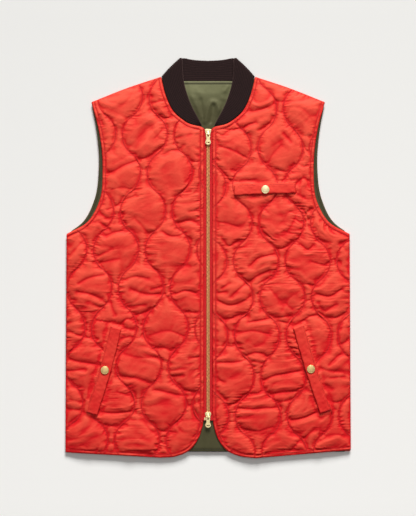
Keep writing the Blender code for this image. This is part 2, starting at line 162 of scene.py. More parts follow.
LINING_LAP = 2.0  # how far it reaches over the collar's foot
LINING_SHADOW_SPAN = (262.0, 318.0)  # heights over which the satin in the neck turns from painted shadow to its own colour
GAP = 0.3

# ---- Collar ----
COLLAR_THICK = 3.5
COLLAR_TOP_CORNER = (-50.5, TOP_Y + 2.6)
COLLAR_SAG = 3.6
COLLAR_BACK_EDGE = [(-42.0, 370.0), (-33.0, 368.0), (-20.0, 366.4)]
COLLAR_FOLD = 1.5  # how far the fold reaches past the two layers' ends
COLLAR_ROUND = (3.0, 5.0)  # how much the fold is rounded off at its top, and how far from it
COLLAR_TURN_IN = 2.4  # how much further it reaches at its foot
COLLAR_BOW = 1.3  # how far the folded edge bows out in its middle
COLLAR_FRONT_EDGE = [(-44.6, 326.3), (-33.5, 289.3)]
COLLAR_TIP = (-11.6, 246.4)
COLLAR_GAP = 0.4
COLLAR_HIGHLIGHT_REACH = 1.0  # how far the painted highlight along the free edge reaches
COLLAR_CLEAR = 1.8
COLLAR_FRONT_Z = 8.65
COLLAR_BACK_Z = 1.75
COLLAR_SEAM_Z = 3.0
COLLAR_STATIONS = {"front": 60, "fold": 11, "back": 30}
RIB_PITCH = 3.6
RIB_DEPTH = 0.35

# ---- Pocket welts and snaps ----
WELT_GROUND = 12.6
WELT_SLOPE = 9.0
WELT_FOOT = 12.9
WELT_RISE = 1.9
WELT_TILT = 1.1  # how much higher the open side lies
WELT_WOBBLE = 0.45
WELT_PUCKER = 0.22
WELT_GROOVE = 0.5
SLOT_DEPTH = 3.6  # of the slot along a welt's open side
SLOT_PLACE = (0.6, 2.2)  # how far outside the welt it lies, and how wide it is
SLOT_ENDS = (-4, 3)  # how far past the welt's end it fades
WELT_TUCK = 1.5  # how far inside a welt's edge the cloth under it is held
WELT_SEAM = 1.8  # from a welt's edge to its stitches
WELTS = {  # middle line from end to end; open_side: 1 where the opening is to the right of it
    "pocket_welt_right": {
        "line": [(-169.8, -126.7), (-188.4, -202.0), (-214.4, -286.8)], "width": 20.5, "side": "right",
        "open_side": -1,
    },
    "pocket_welt_left": {
        "line": [(166.4, -125.0), (189.6, -203.5), (216.3, -283.0)], "width": 20.5, "side": "left",
        "open_side": 1,
    },
    "pocket_welt_chest": {
        "line": [(47.4, 125.4), (104.0, 128.4), (161.5, 129.7)], "width": 18.4, "side": "left",
        "open_side": 1,
    },
}
SNAPS = {"snap_right": (-190.2, -205.9), "snap_left": (189.4, -203.9), "snap_chest": (105.5, 126.9)}
SNAP_RADIUS = 7.6
SNAP_FOOT = 15.4
SNAP_PROFILE = [  # radius as a share, and height
    (0.9, 0.0), (0.97, 0.15), (1.0, 0.6), (1.0, 1.1), (0.98, 1.45), (0.94, 1.65), (0.9, 1.7), (0.87, 1.62),
    (0.84, 1.58), (0.8, 1.66), (0.7, 1.84), (0.5, 2.08), (0.3, 2.22), (0.12, 2.29), (0.03, 2.3),
]

# ---- Zip ----
CHAIN = (-294.1, 232.0)
TOOTH_PITCH = 2.5
TOOTH = [  # a tooth's sections: x from the middle, half its length along the chain, lowest and highest level
    (2.8, 0.85, 8.0, 10.4), (2.4, 1.05, 7.9, 10.5), (1.3, 1.05, 7.9, 10.5), (0.8, 0.7, 8.1, 10.3),
    (0.1, 0.6, 8.1, 10.3), (-0.85, 0.42, 8.4, 10.1),
]
PIVOTS = {"top": 228.7, "bottom": -292.9}
POSTS = {"top": (3.9, 9.3), "bottom": (-2.3, -0.6)}
UNDER_PLATE_Z = 6.6
TOP_PLATE_Z = 10.8
PLATE_THICK = 1.0
PIVOT_RISE = 1.15
TAPE_Z = 8.8
TAPE_THICK = 0.8
LIP_X = 4.05
RING_IN, RING_OUT, RING_WIDE = 1.25, 2.15, 2.6
BRIDGE = [(7.4, -1.2), (5.8, -0.3), (3.6, 0.55)]  # the arch's low rear part: y and level from the pivot
BRIDGE_TOP = 65  # the angle in degrees at which it runs into the arch
SLIDER_SIDE = {
    "top": [(4.1, -4.6), (4.1, -1.5), (4.3, 1.5), (5.3, 4.6), (5.9, 7.6), (5.5, 9.3), (4.0, 9.8)],
    "bottom": [(4.1, -4.6), (4.0, -1.5), (4.0, 0.6), (4.9, 3.4), (5.6, 6.2), (5.0, 8.6), (3.0, 9.8)],
}
TOP_PLATE_END = -2.4  # the upper plate's narrow end, so that the chain shows through the tab's eye
TAB_THICK = 1.4
TAB_LENGTH = 19.6
TAB_SIDE = [(3.8, 0.0), (3.8, -4.2), (3.3, -6.5), (3.3, -9.5)]
TAB_END_RADIUS = 5.2
TAB_SLOT = (3.4, 1.9)
TAB_EYE = [(1.6, 0.55), (1.6, -3.7), (1.0, -4.6)]  # its right half

# ---- Thread ----
THREAD = 0.22
STITCH = 2.2
PITCH = 3.2

# ---- Cloth's feel ----
FEEL = {
    "reach": PUFF_REACH, "puff": PUFF, "spare": 0.042, "uneven": 0.3, "gather": 0.045, "gather_reach": 8.0,
    "turning": 0.6, "across": 0.3, "kick": 2.2, "fine_kick": 0.5, "steps": (150, 150, 100),
    "push": 0.02, "hold": 0.015, "bend": (0.02, 0.012, 0.006), "crease": 1.5,
}
# Crisp facets over the settled cloth: their length along X and along Y, how they lean, their height in the
# middle of a puff and near a seam, and how far from the seam the second one reaches
FACETS = [
    {"size": (38.0, 18.0), "lean": 0.35, "middle": 0.8, "near": 0.5, "reach": 16.0},
    {"size": (22.0, 10.0), "lean": -0.3, "middle": 0.36, "near": 0.7, "reach": 12.0},
    {"size": (12.0, 6.0), "lean": 0.15, "middle": 0.09, "near": 0.5, "reach": 7.0},
]
FACET_WARP = 9.0
CREASE_POWER = 1.5
CRISP = 0.2  # the share of a crease's depth that its sharp bottom adds
CRISP_WIDE = 1.6
LIFT_REACH = 4  # grid points over which a place is told to be a crest or a hollow, for painted light on the crests and painted shade in the hollows
LIFT_RANGE = 0.4

# ---- Creases placed one by one: kind and path, and for the lining path, height and width ----
CREASE_KINDS = {"deep": (2.2, 10.0), "fine": (1.5, 8.0), "wide": (1.6, 16.0)}  # depth and width
CREASES = {
    "right": [
        ("deep", (-187, 156), (-170, 162), (-154, 171), (-132, 180)),
        ("fine", (-132, 182), (-113, 186), (-89, 202)),
        ("wide", (-98, 221), (-83, 238)),
        ("fine", (-106, 286), (-91, 289)),
        ("deep", (-104, 273), (-85, 258), (-70, 260)),
        ("fine", (-82, 191), (-67, 199), (-56, 199)),
        ("fine", (-52, 202), (-45, 208)),
        ("fine", (-33, 178), (-17, 178)),
        ("wide", (-178, 127), (-161, 130), (-135, 125)),
        ("deep", (-185, 90), (-172, 95), (-156, 106), (-135, 115)),
        ("fine", (-200, 84), (-187, 73)),
        ("fine", (-198, 65), (-183, 54)),
        ("deep", (-189, 41), (-176, 47), (-156, 51)),
        ("deep", (-85, 49), (-70, 41), (-56, 41)),
        ("deep", (-54, 65), (-35, 69), (-19, 65)),
        ("fine", (-33, 86), (-21, 88)),
        ("fine", (-32, 16), (-19, 28)),
        ("fine", (-202, 4), (-178, 16)),
        ("wide", (-204, -9), (-163, -1)),
        ("fine", (-255, 6), (-230, 32)),
        ("wide", (-135, 73), (-119, 56), (-107, 40)),
        ("fine", (-237, -46), (-218, -36), (-194, -31)),
        ("deep", (-239, -62), (-218, -66), (-198, -75)),
        ("fine", (-211, -86), (-194, -92)),
        ("fine", (-159, -42), (-135, -34), (-111, -38)),
        ("deep", (-141, -58), (-115, -66), (-89, -66)),
        ("fine", (-104, -57), (-83, -53)),
        ("fine", (-148, -88), (-117, -86)),
        ("deep", (-61, -66), (-41, -60), (-17, -66)),
        ("fine", (-41, -99), (-17, -101)),
        ("fine", (-82, -64), (-69, -79)),
        ("fine", (-180, -83), (-172, -103)),
        ("deep", (-206, -114), (-185, -118), (-161, -123)),
        ("fine", (-161, -121), (-150, -112), (-133, -116)),
        ("fine", (-159, -127), (-132, -134)),
        ("deep", (-133, -105), (-107, -97)),
        ("fine", (-255, -136), (-228, -145), (-206, -149)),
        ("deep", (-100, -166), (-80, -166), (-61, -175)),
        ("fine", (-33, -184), (-17, -182)),
        ("wide", (-159, -175), (-135, -182), (-98, -184)),
        ("deep", (-259, -186), (-230, -192), (-198, -197)),
        ("deep", (-167, -218), (-135, -221), (-102, -232)),
        ("deep", (-100, -243), (-80, -247), (-56, -253)),
        ("fine", (-43, -243), (-17, -249)),
        ("fine", (-70, -218), (-48, -216)),
        ("deep", (-261, -279), (-239, -280), (-226, -286)),
        ("deep", (-198, -284), (-172, -286), (-135, -282)),
        ("fine", (-191, -308), (-172, -310), (-152, -308)),
        ("wide", (-122, -297), (-106, -317), (-91, -327)),
        ("fine", (-89, -319), (-61, -321)),
        ("fine", (-261, -208), (-228, -206)),
        ("fine", (-257, -260), (-230, -266)),
        ("fine", (-33, -271), (-17, -266)),
        ("fine", (-167, -151), (-144, -144)),
        ("wide", (-107, -142), (-74, -134), (-43, -144)),
        ("wide", (-167, -247), (-139, -256)),
    ],
    "left": [
        ("deep", (28, 226), (39, 236), (59, 239)),
        ("deep", (63, 238), (72, 245), (87, 250)),
        ("deep", (78, 271), (92, 273), (109, 278)),
        ("deep", (96, 236), (109, 245), (120, 258)),
        ("wide", (20, 206), (44, 199), (65, 188), (78, 182)),
        ("fine", (13, 171), (28, 158), (42, 141)),
        ("wide", (109, 171), (118, 189), (135, 208)),
        ("fine", (140, 230), (152, 215)),
        ("fine", (126, 164), (144, 160), (159, 171)),
        ("fine", (176, 204), (187, 195)),
        ("fine", (176, 169), (190, 173)),
        ("deep", (164, 138), (176, 147), (190, 139)),
        ("fine", (161, 121), (176, 112)),
        ("wide", (11, 67), (31, 65), (55, 58)),
        ("fine", (24, 38), (37, 23), (57, 32)),
        ("wide", (146, 49), (159, 69), (164, 86)),
        ("fine", (126, 16), (140, 19), (155, 27)),
        ("deep", (79, -14), (92, -1), (107, 4), (127, 8)),
        ("fine", (179, 82), (190, 91)),
        ("fine", (176, 65), (189, 73)),
        ("deep", (170, 25), (185, 16), (194, 23)),
        ("fine", (201, 34), (224, 28)),
        ("fine", (244, 28), (255, 14)),
        ("fine", (226, 3), (244, -9)),
        ("wide", (190, -7), (216, -14)),
        ("deep", (55, -34), (72, -44), (90, -34), (111, -25)),
        ("fine", (89, -49), (103, -42), (115, -38)),
        ("fine", (44, -70), (59, -55), (72, -46)),
        ("fine", (26, -55), (39, -46)),
        ("deep", (15, -77), (39, -86), (61, -81), (78, -71)),
        ("wide", (115, -58), (133, -79)),
        ("wide", (142, -83), (155, -94)),
        ("deep", (26, -114), (46, -110), (59, -105), (72, -108)),
        ("deep", (74, -118), (100, -114), (126, -110), (152, -107)),
        ("deep", (129, -116), (146, -120), (155, -125)),
        ("deep", (157, -125), (172, -118), (187, -108), (205, -105)),
        ("deep", (211, -108), (235, -110), (259, -99)),
        ("deep", (200, -66), (224, -70), (246, -58)),
        ("fine", (203, -83), (213, -97), (235, -86)),
        ("fine", (170, -47), (189, -49)),
        ("fine", (15, -64), (33, -62)),
        ("fine", (15, -162), (37, -162), (59, -166)),
        ("deep", (68, -181), (87, -175), (102, -177), (113, -186)),
        ("fine", (22, -192), (50, -192), (70, -188)),
        ("deep", (100, -227), (118, -218), (146, -212), (172, -208)),
        ("deep", (115, -251), (140, -247), (164, -245)),
        ("fine", (78, -251), (92, -249), (105, -242)),
        ("fine", (129, -266), (152, -262)),
        ("fine", (37, -273), (53, -266), (66, -256)),
        ("fine", (53, -277), (81, -279), (107, -277), (133, -275)),
        ("deep", (152, -299), (174, -295), (203, -284), (231, -279)),
        ("deep", (246, -177), (235, -184), (224, -197)),
        ("fine", (207, -203), (227, -208), (250, -210)),
        ("fine", (224, -221), (250, -219)),
        ("fine", (211, -231), (227, -242)),
        ("fine", (216, -260), (237, -266), (259, -258)),
        ("fine", (174, -336), (185, -325), (196, -317)),
        ("fine", (153, -354), (168, -338)),
        ("fine", (13, -221), (28, -229)),
        ("fine", (15, -249), (33, -262)),
        ("fine", (244, -160), (259, -151)),
        ("wide", (48, -140), (81, -134), (111, -140)),
        ("wide", (207, -336), (237, -325), (257, -330)),
        ("wide", (59, -314), (92, -319), (118, -312)),
    ],
}
LINING_FOLDS = [
    ([(22, 266), (19, 279), (14, 288), (7, 289), (2, 281), (-2, 268), (-5, 254)], 2.6, 8.0),
    ([(10, 281), (9, 268), (5, 252)], -2.4, 6.5),
    ([(-30, 296), (-20, 280), (-12, 262)], 1.4, 12.0),
    ([(-40, 309), (0, 303), (40, 309)], 1.0, 16.0),
    ([(-14, 292), (-12, 272), (-8, 256)], -1.8, 7.0),
    ([(37, 317), (30, 309)], 1.2, 6.0),
    ([(36, 293), (26, 296)], 1.0, 7.0),
    ([(-22, 312), (-10, 296), (-8, 282)], 0.8, 10.0),
    ([(-34, 300), (-26, 296)], 0.9, 7.0),
]

# ---- Colours ----
# painted shade in the nylon's hollows and painted light on its crests: how much the crests move its colour
NYLON_CREST_SHADE = 0.3
NYLON_LIT_SIDE = 0.45  # painted light and shade: how much paler the nylon is painted where it faces the collar and the lamp, and deeper where it faces the hem
NYLON_LIGHT_FALLOFF = (0.37, -0.03)  # painted light that falls off towards the hem: how much paler for each metre towards the collar, and everywhere
# the nylon's shaded, deeper red and its lit, paler red: painted shade and light, with random tone between
# them
NYLON_SHADE_TONE = (0.64, 0.002, 0.008)
NYLON_LIGHT_TONE = (0.75, 0.062, 0.035)
# painted shade along the seams, over the seams' own darker red
SEAM_SHADOW_RED = (0.44, 0.001, 0.006)
NYLON_SEAM = 0.85
SATIN_DARK, SATIN_LIGHT = (0.11, 0.11, 0.051), (0.145, 0.145, 0.071)
SATIN_SHADOW = (0.052, 0.046, 0.019)  # painted shadow over the lining below the neck, where the fronts and the collar close over it
# painted shade along the lining's stitches, over their own dark line
SATIN_STITCH_SHADE = (0.02, 0.017, 0.008)
RIB_DARK, RIB_LIGHT = (0.007, 0.0025, 0.0025), (0.036, 0.0145, 0.0135)
# painted highlight along the collar's free edge and its fold
RIB_HIGHLIGHT = (0.036, 0.018, 0.016)
TAPE_DARK, TAPE_LIGHT = (0.5, 0.008, 0.012), (0.74, 0.014, 0.018)
RED_THREAD = ((0.36, 0.006, 0.008), (0.52, 0.01, 0.012))
OLIVE_THREAD = ((0.05, 0.055, 0.028), (0.08, 0.085, 0.045))
BRASS = {  # colour, worn colour, and the least and the greatest roughness
    "brass": ((0.98, 0.81, 0.45), (0.88, 0.68, 0.34), 0.36, 0.5),
    "brass_chain": ((0.78, 0.41, 0.18), (0.62, 0.3, 0.13), 0.55, 0.7),
    # one cap brass as a lit and a shaded copy: painted light on the chest snap, painted shade on the pocket
    # snaps
    "brass_cap_lit": ((0.98, 0.84, 0.5), (0.91, 0.73, 0.38), 0.38, 0.5),
    "brass_cap_shaded": ((0.86, 0.63, 0.28), (0.74, 0.5, 0.2), 0.38, 0.5),
}

# ---- Stage ----
PIXEL = 1.85  # one pixel of a 416 by 516 frame
FRAME_HEIGHT = 516 * PIXEL
CAMERA_HEIGHT = 3500.0
CAMERA_AT = (-0.2, 0.7)
FLOOR_HALF = 4000.0
FLOOR_SPAN = (-0.45, 0.45)  # metres along Y over which the paper's shade evens out the light
FLOOR_LOW = (0.898, 0.887, 0.858)
FLOOR_HIGH = (0.673, 0.666, 0.644)
FILL = 0.1
KEY_PLACE = (0.5, 5.2, 3.3)
KEY_SIZE = 2.3
KEY_POWER = 590
TOP_PLACE = (0, 0, 4.5)
TOP_SIZE = 4.5
TOP_POWER = 56
SENSOR = 36
CAMERA_CLIP = (0.1, 20)


# ---- Paths ----
def path_run(path):
    return np.concatenate([[0], np.cumsum(np.linalg.norm(np.diff(path, axis=0), axis=1))])


def spline(points, samples=24):
    """A dense smooth path of cubic pieces, with each point's slope taken over its two neighbours."""
    points = np.array(points, float)
    at = path_run(points)
    slopes = np.gradient(points, at, axis=0)
    u = np.linspace(0, 1, samples, endpoint=False)[:, None]
    pieces = []
    for i, reach in enumerate(np.diff(at)):
        start = (1 + 2 * u) * (1 - u) ** 2 * points[i] + u * (1 - u) ** 2 * reach * slopes[i]
        end = u**2 * (3 - 2 * u) * points[i + 1] + u**2 * (u - 1) * reach * slopes[i + 1]
        pieces.append(start + end)
    return np.vstack([*pieces, points[-1:]])


def along(path, shares):
    """The points at these shares of the path's length."""
    path = np.asarray(path, float)
    run = path_run(path)
    wanted = np.asarray(shares) * run[-1]
    return np.stack([np.interp(wanted, run, axis) for axis in path.T], -1)


def resample(path, step):
    """The path with its points this far apart."""
    count = max(2, int(round(path_run(path)[-1] / step)) + 1)
    return along(path, np.linspace(0, 1, count))


def sideways(path, distance):
    """The path moved to the right of its direction."""
    ahead = np.gradient(path, axis=0)
    ahead /= np.linalg.norm(ahead, axis=1)[:, None]
    return path + np.column_stack([ahead[:, 1], -ahead[:, 0]]) * distance


def smooth_step(value, low, high):
    share = np.clip((value - low) / (high - low), 0, 1)
    return share * share * (3 - 2 * share)


def front_lines(side):
    """A front's edges, as paths, on its own side of the middle."""
    turn = (side["turn"], 1)
    middle = (np.array(SHOULDER_TIP) + NECK_POINT) / 2 + (0, SHOULDER_BOW)
    corner = spline([(HEM_START_X, side["hem_low_y"]), *ROUND_CORNER, (FRONT_EDGE_X, CORNER_TOP_Y)])
    lines = {
        "side": np.array([(-HALF_WIDTH, side["hem_side_y"]), (-CHEST_HALF, UNDERARM_Y)]),
        "armhole": spline([(-CHEST_HALF, UNDERARM_Y), *FRONT_ARMHOLE, SHOULDER_TIP]),
        "shoulder": spline([SHOULDER_TIP, middle, NECK_POINT]),
        "neck": spline([NECK_POINT, *FRONT_NECK, NECK_END]),
        "zip": np.array([NECK_END, (FRONT_EDGE_X, FRONT_TOP_Y), (FRONT_EDGE_X, CORNER_TOP_Y)]),
        "hem": np.vstack([corner[::-1], [(-HALF_WIDTH, side["hem_side_y"])]]),
    }
    return {name: line * turn for name, line in lines.items()}


def closed(lines):
    """The edges joined into one closed outline, without doubled points."""
    return np.vstack([resample(line, OUTLINE_STEP)[:-1] for line in lines])


def line_drift(side, y):
    """Where the quilting's middle line and its waves stand at each height."""
    rows = np.array(side["rows"])
    row = np.interp(-y, -rows, np.arange(len(rows)))
    row = np.where(y > rows[0], (rows[0] - y) / ROW_STEP, row)
    row = np.where(y < rows[-1], len(rows) - 1 + (rows[-1] - y) / ROW_STEP, row)
    near = np.round(row)
    rise = np.sqrt(WAVE_RADIUS**2 - ((row - near) * ROW_STEP) ** 2) - (WAVE_RADIUS - WAVE_REACH)
    return side["onion_x"] - side["lean"] * (rows[0] - y), np.where(near % 2 == 0, rise, -rise)


def quilting(side, points):
    """How far to the right of the nearest quilting line each point lies, along X."""
    x, y = points[..., 0], points[..., 1]
    middle, wave = line_drift(side, y)
    best = np.full(x.shape, 1e9)
    for parity, sign in ((0, 1), (1, -1)):
        number = (x - middle - sign * wave) / LINE_SPACING - 0.5
        number = number - (2 * np.round((number - parity) / 2) + parity)
        best = np.where(np.abs(number * LINE_SPACING) < np.abs(best), number * LINE_SPACING, best)
    return best


def quilting_paths(side):
    """The quilting lines over the whole height, one path each."""
    y = np.arange(-375.0, 345.0, 1.0)
    middle, wave = line_drift(side, y)
    for number in range(-7, 8):
        x = middle + (number + 0.5) * LINE_SPACING + (1 if number % 2 == 0 else -1) * wave
        yield np.column_stack([x, y])


# ---- Grids whose points lie on the outline and on the stitch lines ----
def grid_over(outline, coarsest, cell):
    """A square grid over the outline. Grids with the same coarsest cell have the same corners."""
    low = outline.min(0) - 2 * coarsest
    size = outline.max(0) + 2 * coarsest - low
    columns, rows = (int(math.ceil(s / coarsest) * round(coarsest / cell)) + 1 for s in size)
    x, y = low[0] + cell * np.arange(columns), low[1] + cell * np.arange(rows)
    return np.stack(np.meshgrid(x, y), -1)


def distance_to(points, path, reach, closed_path=False):
    """The distance from each point of a grid to the path, as far as this reach."""
    path = np.vstack([path, path[:1]]) if closed_path else np.asarray(path)
    best = np.full(points.shape[:2], float(reach))
    xs, ys = points[0, :, 0], points[:, 0, 1]
    for a, b in zip(path[:-1], path[1:]):
        low, high = np.minimum(a, b) - reach - 2, np.maximum(a, b) + reach + 2
        c = slice(*np.searchsorted(xs, (low[0], high[0])))
        r = slice(*np.searchsorted(ys, (low[1], high[1])))
        window = points[r, c] - a
        ahead = b - a
        share = np.clip((window @ ahead) / (ahead @ ahead), 0, 1)
        gap = np.linalg.norm(window - share[..., None] * ahead, axis=-1)
        np.minimum(best[r, c], gap, out=best[r, c])
    return best


def inside(points, outline):
    """True for the points of a straight grid that the closed outline holds."""
    held = np.zeros(points.shape[:2], bool)
    xs, ys = points[0, :, 0], points[:, 0, 1]
    for a, b in zip(outline, np.roll(outline, -1, axis=0)):
        (x0, y0), (x1, y1) = sorted((tuple(a), tuple(b)), key=lambda p: p[1])
        r = slice(*np.searchsorted(ys, (y0, y1)))
        if r.stop > r.start:
            cut = x0 + (ys[r] - y0) * (x1 - x0) / (y1 - y0)
            held[r] ^= xs[None, :] > cut[:, None]
    return held


def snap(points, value, movable, most=6.0):
    """Moves the nearer end of each grid edge on which value changes sign to where it does.
    Returns the points and a mask of those that then lie on that line."""
    best = np.full(value.shape, 9.0)
    step = np.zeros(points.shape)
    for axis in (0, 1):
        first = (slice(None, -1), slice(None)) if axis == 0 else (slice(None), slice(None, -1))
        second = (slice(1, None), slice(None)) if axis == 0 else (slice(None), slice(1, None))
        a, b = value[first], value[second]
        crossed = (a * b <= 0) & (a != b) & (np.abs(a - b) < most)
        share = np.where(crossed, a / np.where(a == b, 1, a - b), 9.0)
        ahead = points[second] - points[first]
        for end, part, move in ((first, share, share), (second, 1 - share, share - 1)):
            nearer = crossed & (part <= 0.5) & (part < best[end])
            best[end] = np.where(nearer, part, best[end])
            step[end] = np.where(nearer[..., None], move[..., None] * ahead, step[end])
    on_line = best < 1
    return points + step * (on_line & movable)[..., None], on_line


# ---- Cloth ----
def relax(flat, start, free, active, spare, target, steps, push, hold, bend):
    """Lets a sheet settle: flat gives its places in the plan, start where its points begin, spare how much
    longer than the plan the cloth is along XX, XY and YY, and target where the filling wants it."""
    rows, columns = flat.shape[:2]
    points = np.ascontiguousarray(start.transpose(2, 0, 1)).astype(np.float32)
    loose = (free & active).astype(np.float32)
    springs = []
    odd_even = [(odd, (rows - odd) // 2, (columns - odd) // 2) for odd in (0, 1)]
    for odd, high, wide in odd_even:
        low_rows, up_rows = slice(odd, odd + 2 * high - 1, 2), slice(odd + 1, odd + 2 * high, 2)
        low_cols, up_cols = slice(odd, odd + 2 * wide - 1, 2), slice(odd + 1, odd + 2 * wide, 2)
        every, left, right = slice(None), slice(0, columns - 1), slice(1, columns)
        springs += [
            ((low_rows, every), (up_rows, every), 1.0),
            ((every, low_cols), (every, up_cols), 1.0),
            ((low_rows, left), (up_rows, right), 0.6),
            ((low_rows, right), (up_rows, left), 0.6),
        ]
    groups = []
    for a, b, stiffness in springs:
        ahead = flat[b] - flat[a]
        length = np.linalg.norm(ahead, axis=-1)
        x, y = ahead[..., 0] / length, ahead[..., 1] / length
        xx, xy, yy = ((s[a] + s[b]) / 2 for s in spare)
        rest = length * (1 + xx * x * x + 2 * xy * x * y + yy * y * y)
        both = stiffness * (active[a] & active[b]) / np.maximum(loose[a] + loose[b], 1)
        parts = (rest, both * loose[a], both * loose[b])
        ends = (points[(slice(None), *a)], points[(slice(None), *b)])
        groups.append((*ends, *(part.astype(np.float32) for part in parts)))
    target = target.astype(np.float32)
    for step in range(steps):
        lift = target - points[2]
        points[2] += loose * np.where(lift > 0, push, hold) * lift
        for level in points if step % 3 == 0 else points[2:]:
            level -= bend * loose * stiff_curve(level)
        for a, b, rest, share_a, share_b in groups:
            ahead = b - a
            length = np.sqrt((ahead * ahead).sum(0))
            pull = (length - rest) / np.maximum(length, 1e-6)
            a += ahead * (pull * share_a)
            b -= ahead * (pull * share_b)
    return points.transpose(1, 2, 0).astype(float)


def stiff_curve(level):
    """The curvature of the curvature, which a stiff sheet wants to lose."""
    curve = np.zeros_like(level)
    curve[1:-1] += level[2:] + level[:-2] - 2 * level[1:-1]
    curve[:, 1:-1] += level[:, 2:] + level[:, :-2] - 2 * level[:, 1:-1]
    again = np.zeros_like(level)
    again[2:-2] += curve[3:-1] + curve[1:-3] - 2 * curve[2:-2]
    again[:, 2:-2] += curve[:, 3:-1] + curve[:, 1:-3] - 2 * curve[:, 2:-2]
    return again


def cubic_weights(f):
    return (
        -0.5 * f + f * f - 0.5 * f**3,
        1 - 2.5 * f * f + 1.5 * f**3,
        0.5 * f + 2 * f * f - 1.5 * f**3,
        -0.5 * f * f + 0.5 * f**3,
    )


def noise(points, cell, seed):
    """Smooth random values over the plan, with bumps about this wide."""
    table = np.random.default_rng(seed).standard_normal((int(760 / cell) + 8, int(560 / cell) + 8))
    u, v = (points[..., 0] + 280) / cell + 2, (points[..., 1] + 380) / cell + 2
    i, j = np.floor(v).astype(int), np.floor(u).astype(int)
    down, across = cubic_weights(v - i), cubic_weights(u - j)
    return sum(
        down[p] * across[q] * table[i + p - 1, j + q - 1] for p in range(4) for q in range(4)
    )


def doubled(grid):
    """The grid with a point more between every two."""
    for axis in (0, 1):
        grid = np.moveaxis(grid, axis, 0)
        padded = np.concatenate([2 * grid[:1] - grid[1:2], grid, 2 * grid[-1:] - grid[-2:-1]])
        between = (9 * (grid[:-1] + grid[1:]) - padded[:-3] - padded[3:]) / 16
        finer = np.empty((2 * len(grid) - 1, *grid.shape[1:]))
        finer[::2], finer[1::2] = grid, between
        grid = np.moveaxis(finer, 0, axis)
    return grid


def nearest(points, seeds):
    """The distance from each grid point to the nearest seed point, by jumps that halve."""
    rows, columns = seeds.shape
    near = np.where(seeds[..., None], points, 1e6)
    gap = ((near - points) ** 2).sum(-1)
    jump = 32
    while jump:
        for down in (-jump, 0, jump):
            for across in (-jump, 0, jump):
                to = (
                    slice(max(0, down), min(rows, rows + down)),
                    slice(max(0, across), min(columns, columns + across)),
                )
                source = (
                    slice(to[0].start - down, to[0].stop - down),
                    slice(to[1].start - across, to[1].stop - across),
                )
                other = near[source].copy()
                new_gap = ((other - points[to]) ** 2).sum(-1)
                closer = new_gap < gap[to]
                near[to] = np.where(closer[..., None], other, near[to])
                gap[to] = np.where(closer, new_gap, gap[to])
        jump //= 2
    return np.sqrt(gap)


def settle(make_level, cells, feel):
    """Simulates a panel on finer and finer grids. make_level gives each grid and what holds it."""
    shift = None
    for number, cell in enumerate(cells):
        level = make_level(cell)
        flat, pins, active = level["flat"], level["pins"], level["active"]
        gap = nearest(flat, pins)
        dome = 1 - (1 - np.clip(gap / feel["reach"], 0, 1)) ** 2
        target = level["ground"] + dome * feel["puff"] - level["trough"]
        more = feel["spare"] * np.clip(1 + feel["uneven"] * noise(flat, 55, feel["seed"]), 0, 3)
        patches = np.clip(noise(flat, 24, feel["seed"] + 4), 0, 2)
        more = more + feel["gather"] * patches * np.exp(-((gap / feel["gather_reach"]) ** 2))
        angle = feel["turning"] * noise(flat, 45, feel["seed"] + 1) + math.pi / 2
        c, s, less = np.cos(angle), np.sin(angle), feel["across"] * more
        spare = (more * c * c + less * s * s, (more - less) * c * s, more * s * s + less * c * c)
        free = ~pins
        if shift is None:
            kick = feel["kick"] * noise(flat, 26, feel["seed"] + 2) * free
            start = np.dstack([flat, level["ground"] + 0.5 * (target - level["ground"]) + kick])
        else:
            shift = doubled(shift) * (free & active)[..., None]
            kick = feel["fine_kick"] * noise(flat, 9, feel["seed"] + 3) * free if number == 1 else 0
            start = np.dstack([flat, level["ground"] + kick]) + shift
        hold = feel["hold"] * (1 + feel["crease"] * level["trough"])
        settled = relax(
            flat, start, free, active, spare, target, feel["steps"][number], feel["push"], hold,
            feel["bend"][number],
        )
        shift = settled - np.dstack([flat, level["ground"]])
        shift[~active] = 0
    level["settled"], level["gap"] = settled, gap
    return level


def facets(points, size, lean, seed):
    """Random heights joined by flat triangles, which leaves crisp creases between them."""
    x = points[..., 0] + FACET_WARP * noise(points, 34, seed + 1)
    y = points[..., 1] + FACET_WARP * noise(points, 34, seed + 2)
    u = (x * math.cos(lean) + y * math.sin(lean)) / size[0]
    v = (y * math.cos(lean) - x * math.sin(lean)) / size[1]
    i, j = np.floor(v).astype(int), np.floor(u).astype(int)
    table = np.random.default_rng(seed).standard_normal((np.ptp(i) + 2, np.ptp(j) + 2))
    s, t = u - j, v - i
    i, j = i - i.min(), j - j.min()
    near, far = table[i, j], table[i + 1, j + 1]
    right = near + s * (table[i, j + 1] - near) + t * (far - table[i, j + 1])
    left = near + t * (table[i + 1, j] - near) + s * (far - table[i + 1, j])
    return np.where(s > t, right, left)


def crumple(level, feel, creases):
    """Adds what a stiff, thin shell cloth has and the settled sheet lacks: flat facets and sharp creases."""
    flat, gap = level["flat"], level["gap"]
    rise = np.zeros(gap.shape)
    for number, facet in enumerate(FACETS):
        high = facet["middle"] + (facet["near"] - facet["middle"]) * np.exp(-((gap / facet["reach"]) ** 2))
        rise += high * facets(flat, facet["size"], facet["lean"], feel["seed"] + 40 + 3 * number)
    for path, deep, wide in creases:
        line = spline(path, 6) if len(path) > 2 else np.array(path, float)
        rise -= CRISP * deep * np.exp(-distance_to(flat, line, 6 * CRISP_WIDE) / CRISP_WIDE)
    level["settled"][..., 2] += rise * smooth_step(gap, 0, 3.0)


def crests(level):
    """Minus one in the hollows of a settled sheet, and one on its crests: where the nylon gets painted shade
    and painted light.
    """
    height = level["settled"][..., 2]
    soft = height.copy()
    for _ in range(LIFT_REACH):
        for axis in (0, 1):
            soft = (np.roll(soft, 1, axis) + 2 * soft + np.roll(soft, -1, axis)) / 4
            soft = (np.roll(soft, 2, axis) + 2 * soft + np.roll(soft, -2, axis)) / 4
    return np.clip((height - soft) / LIFT_RANGE, -1, 1)


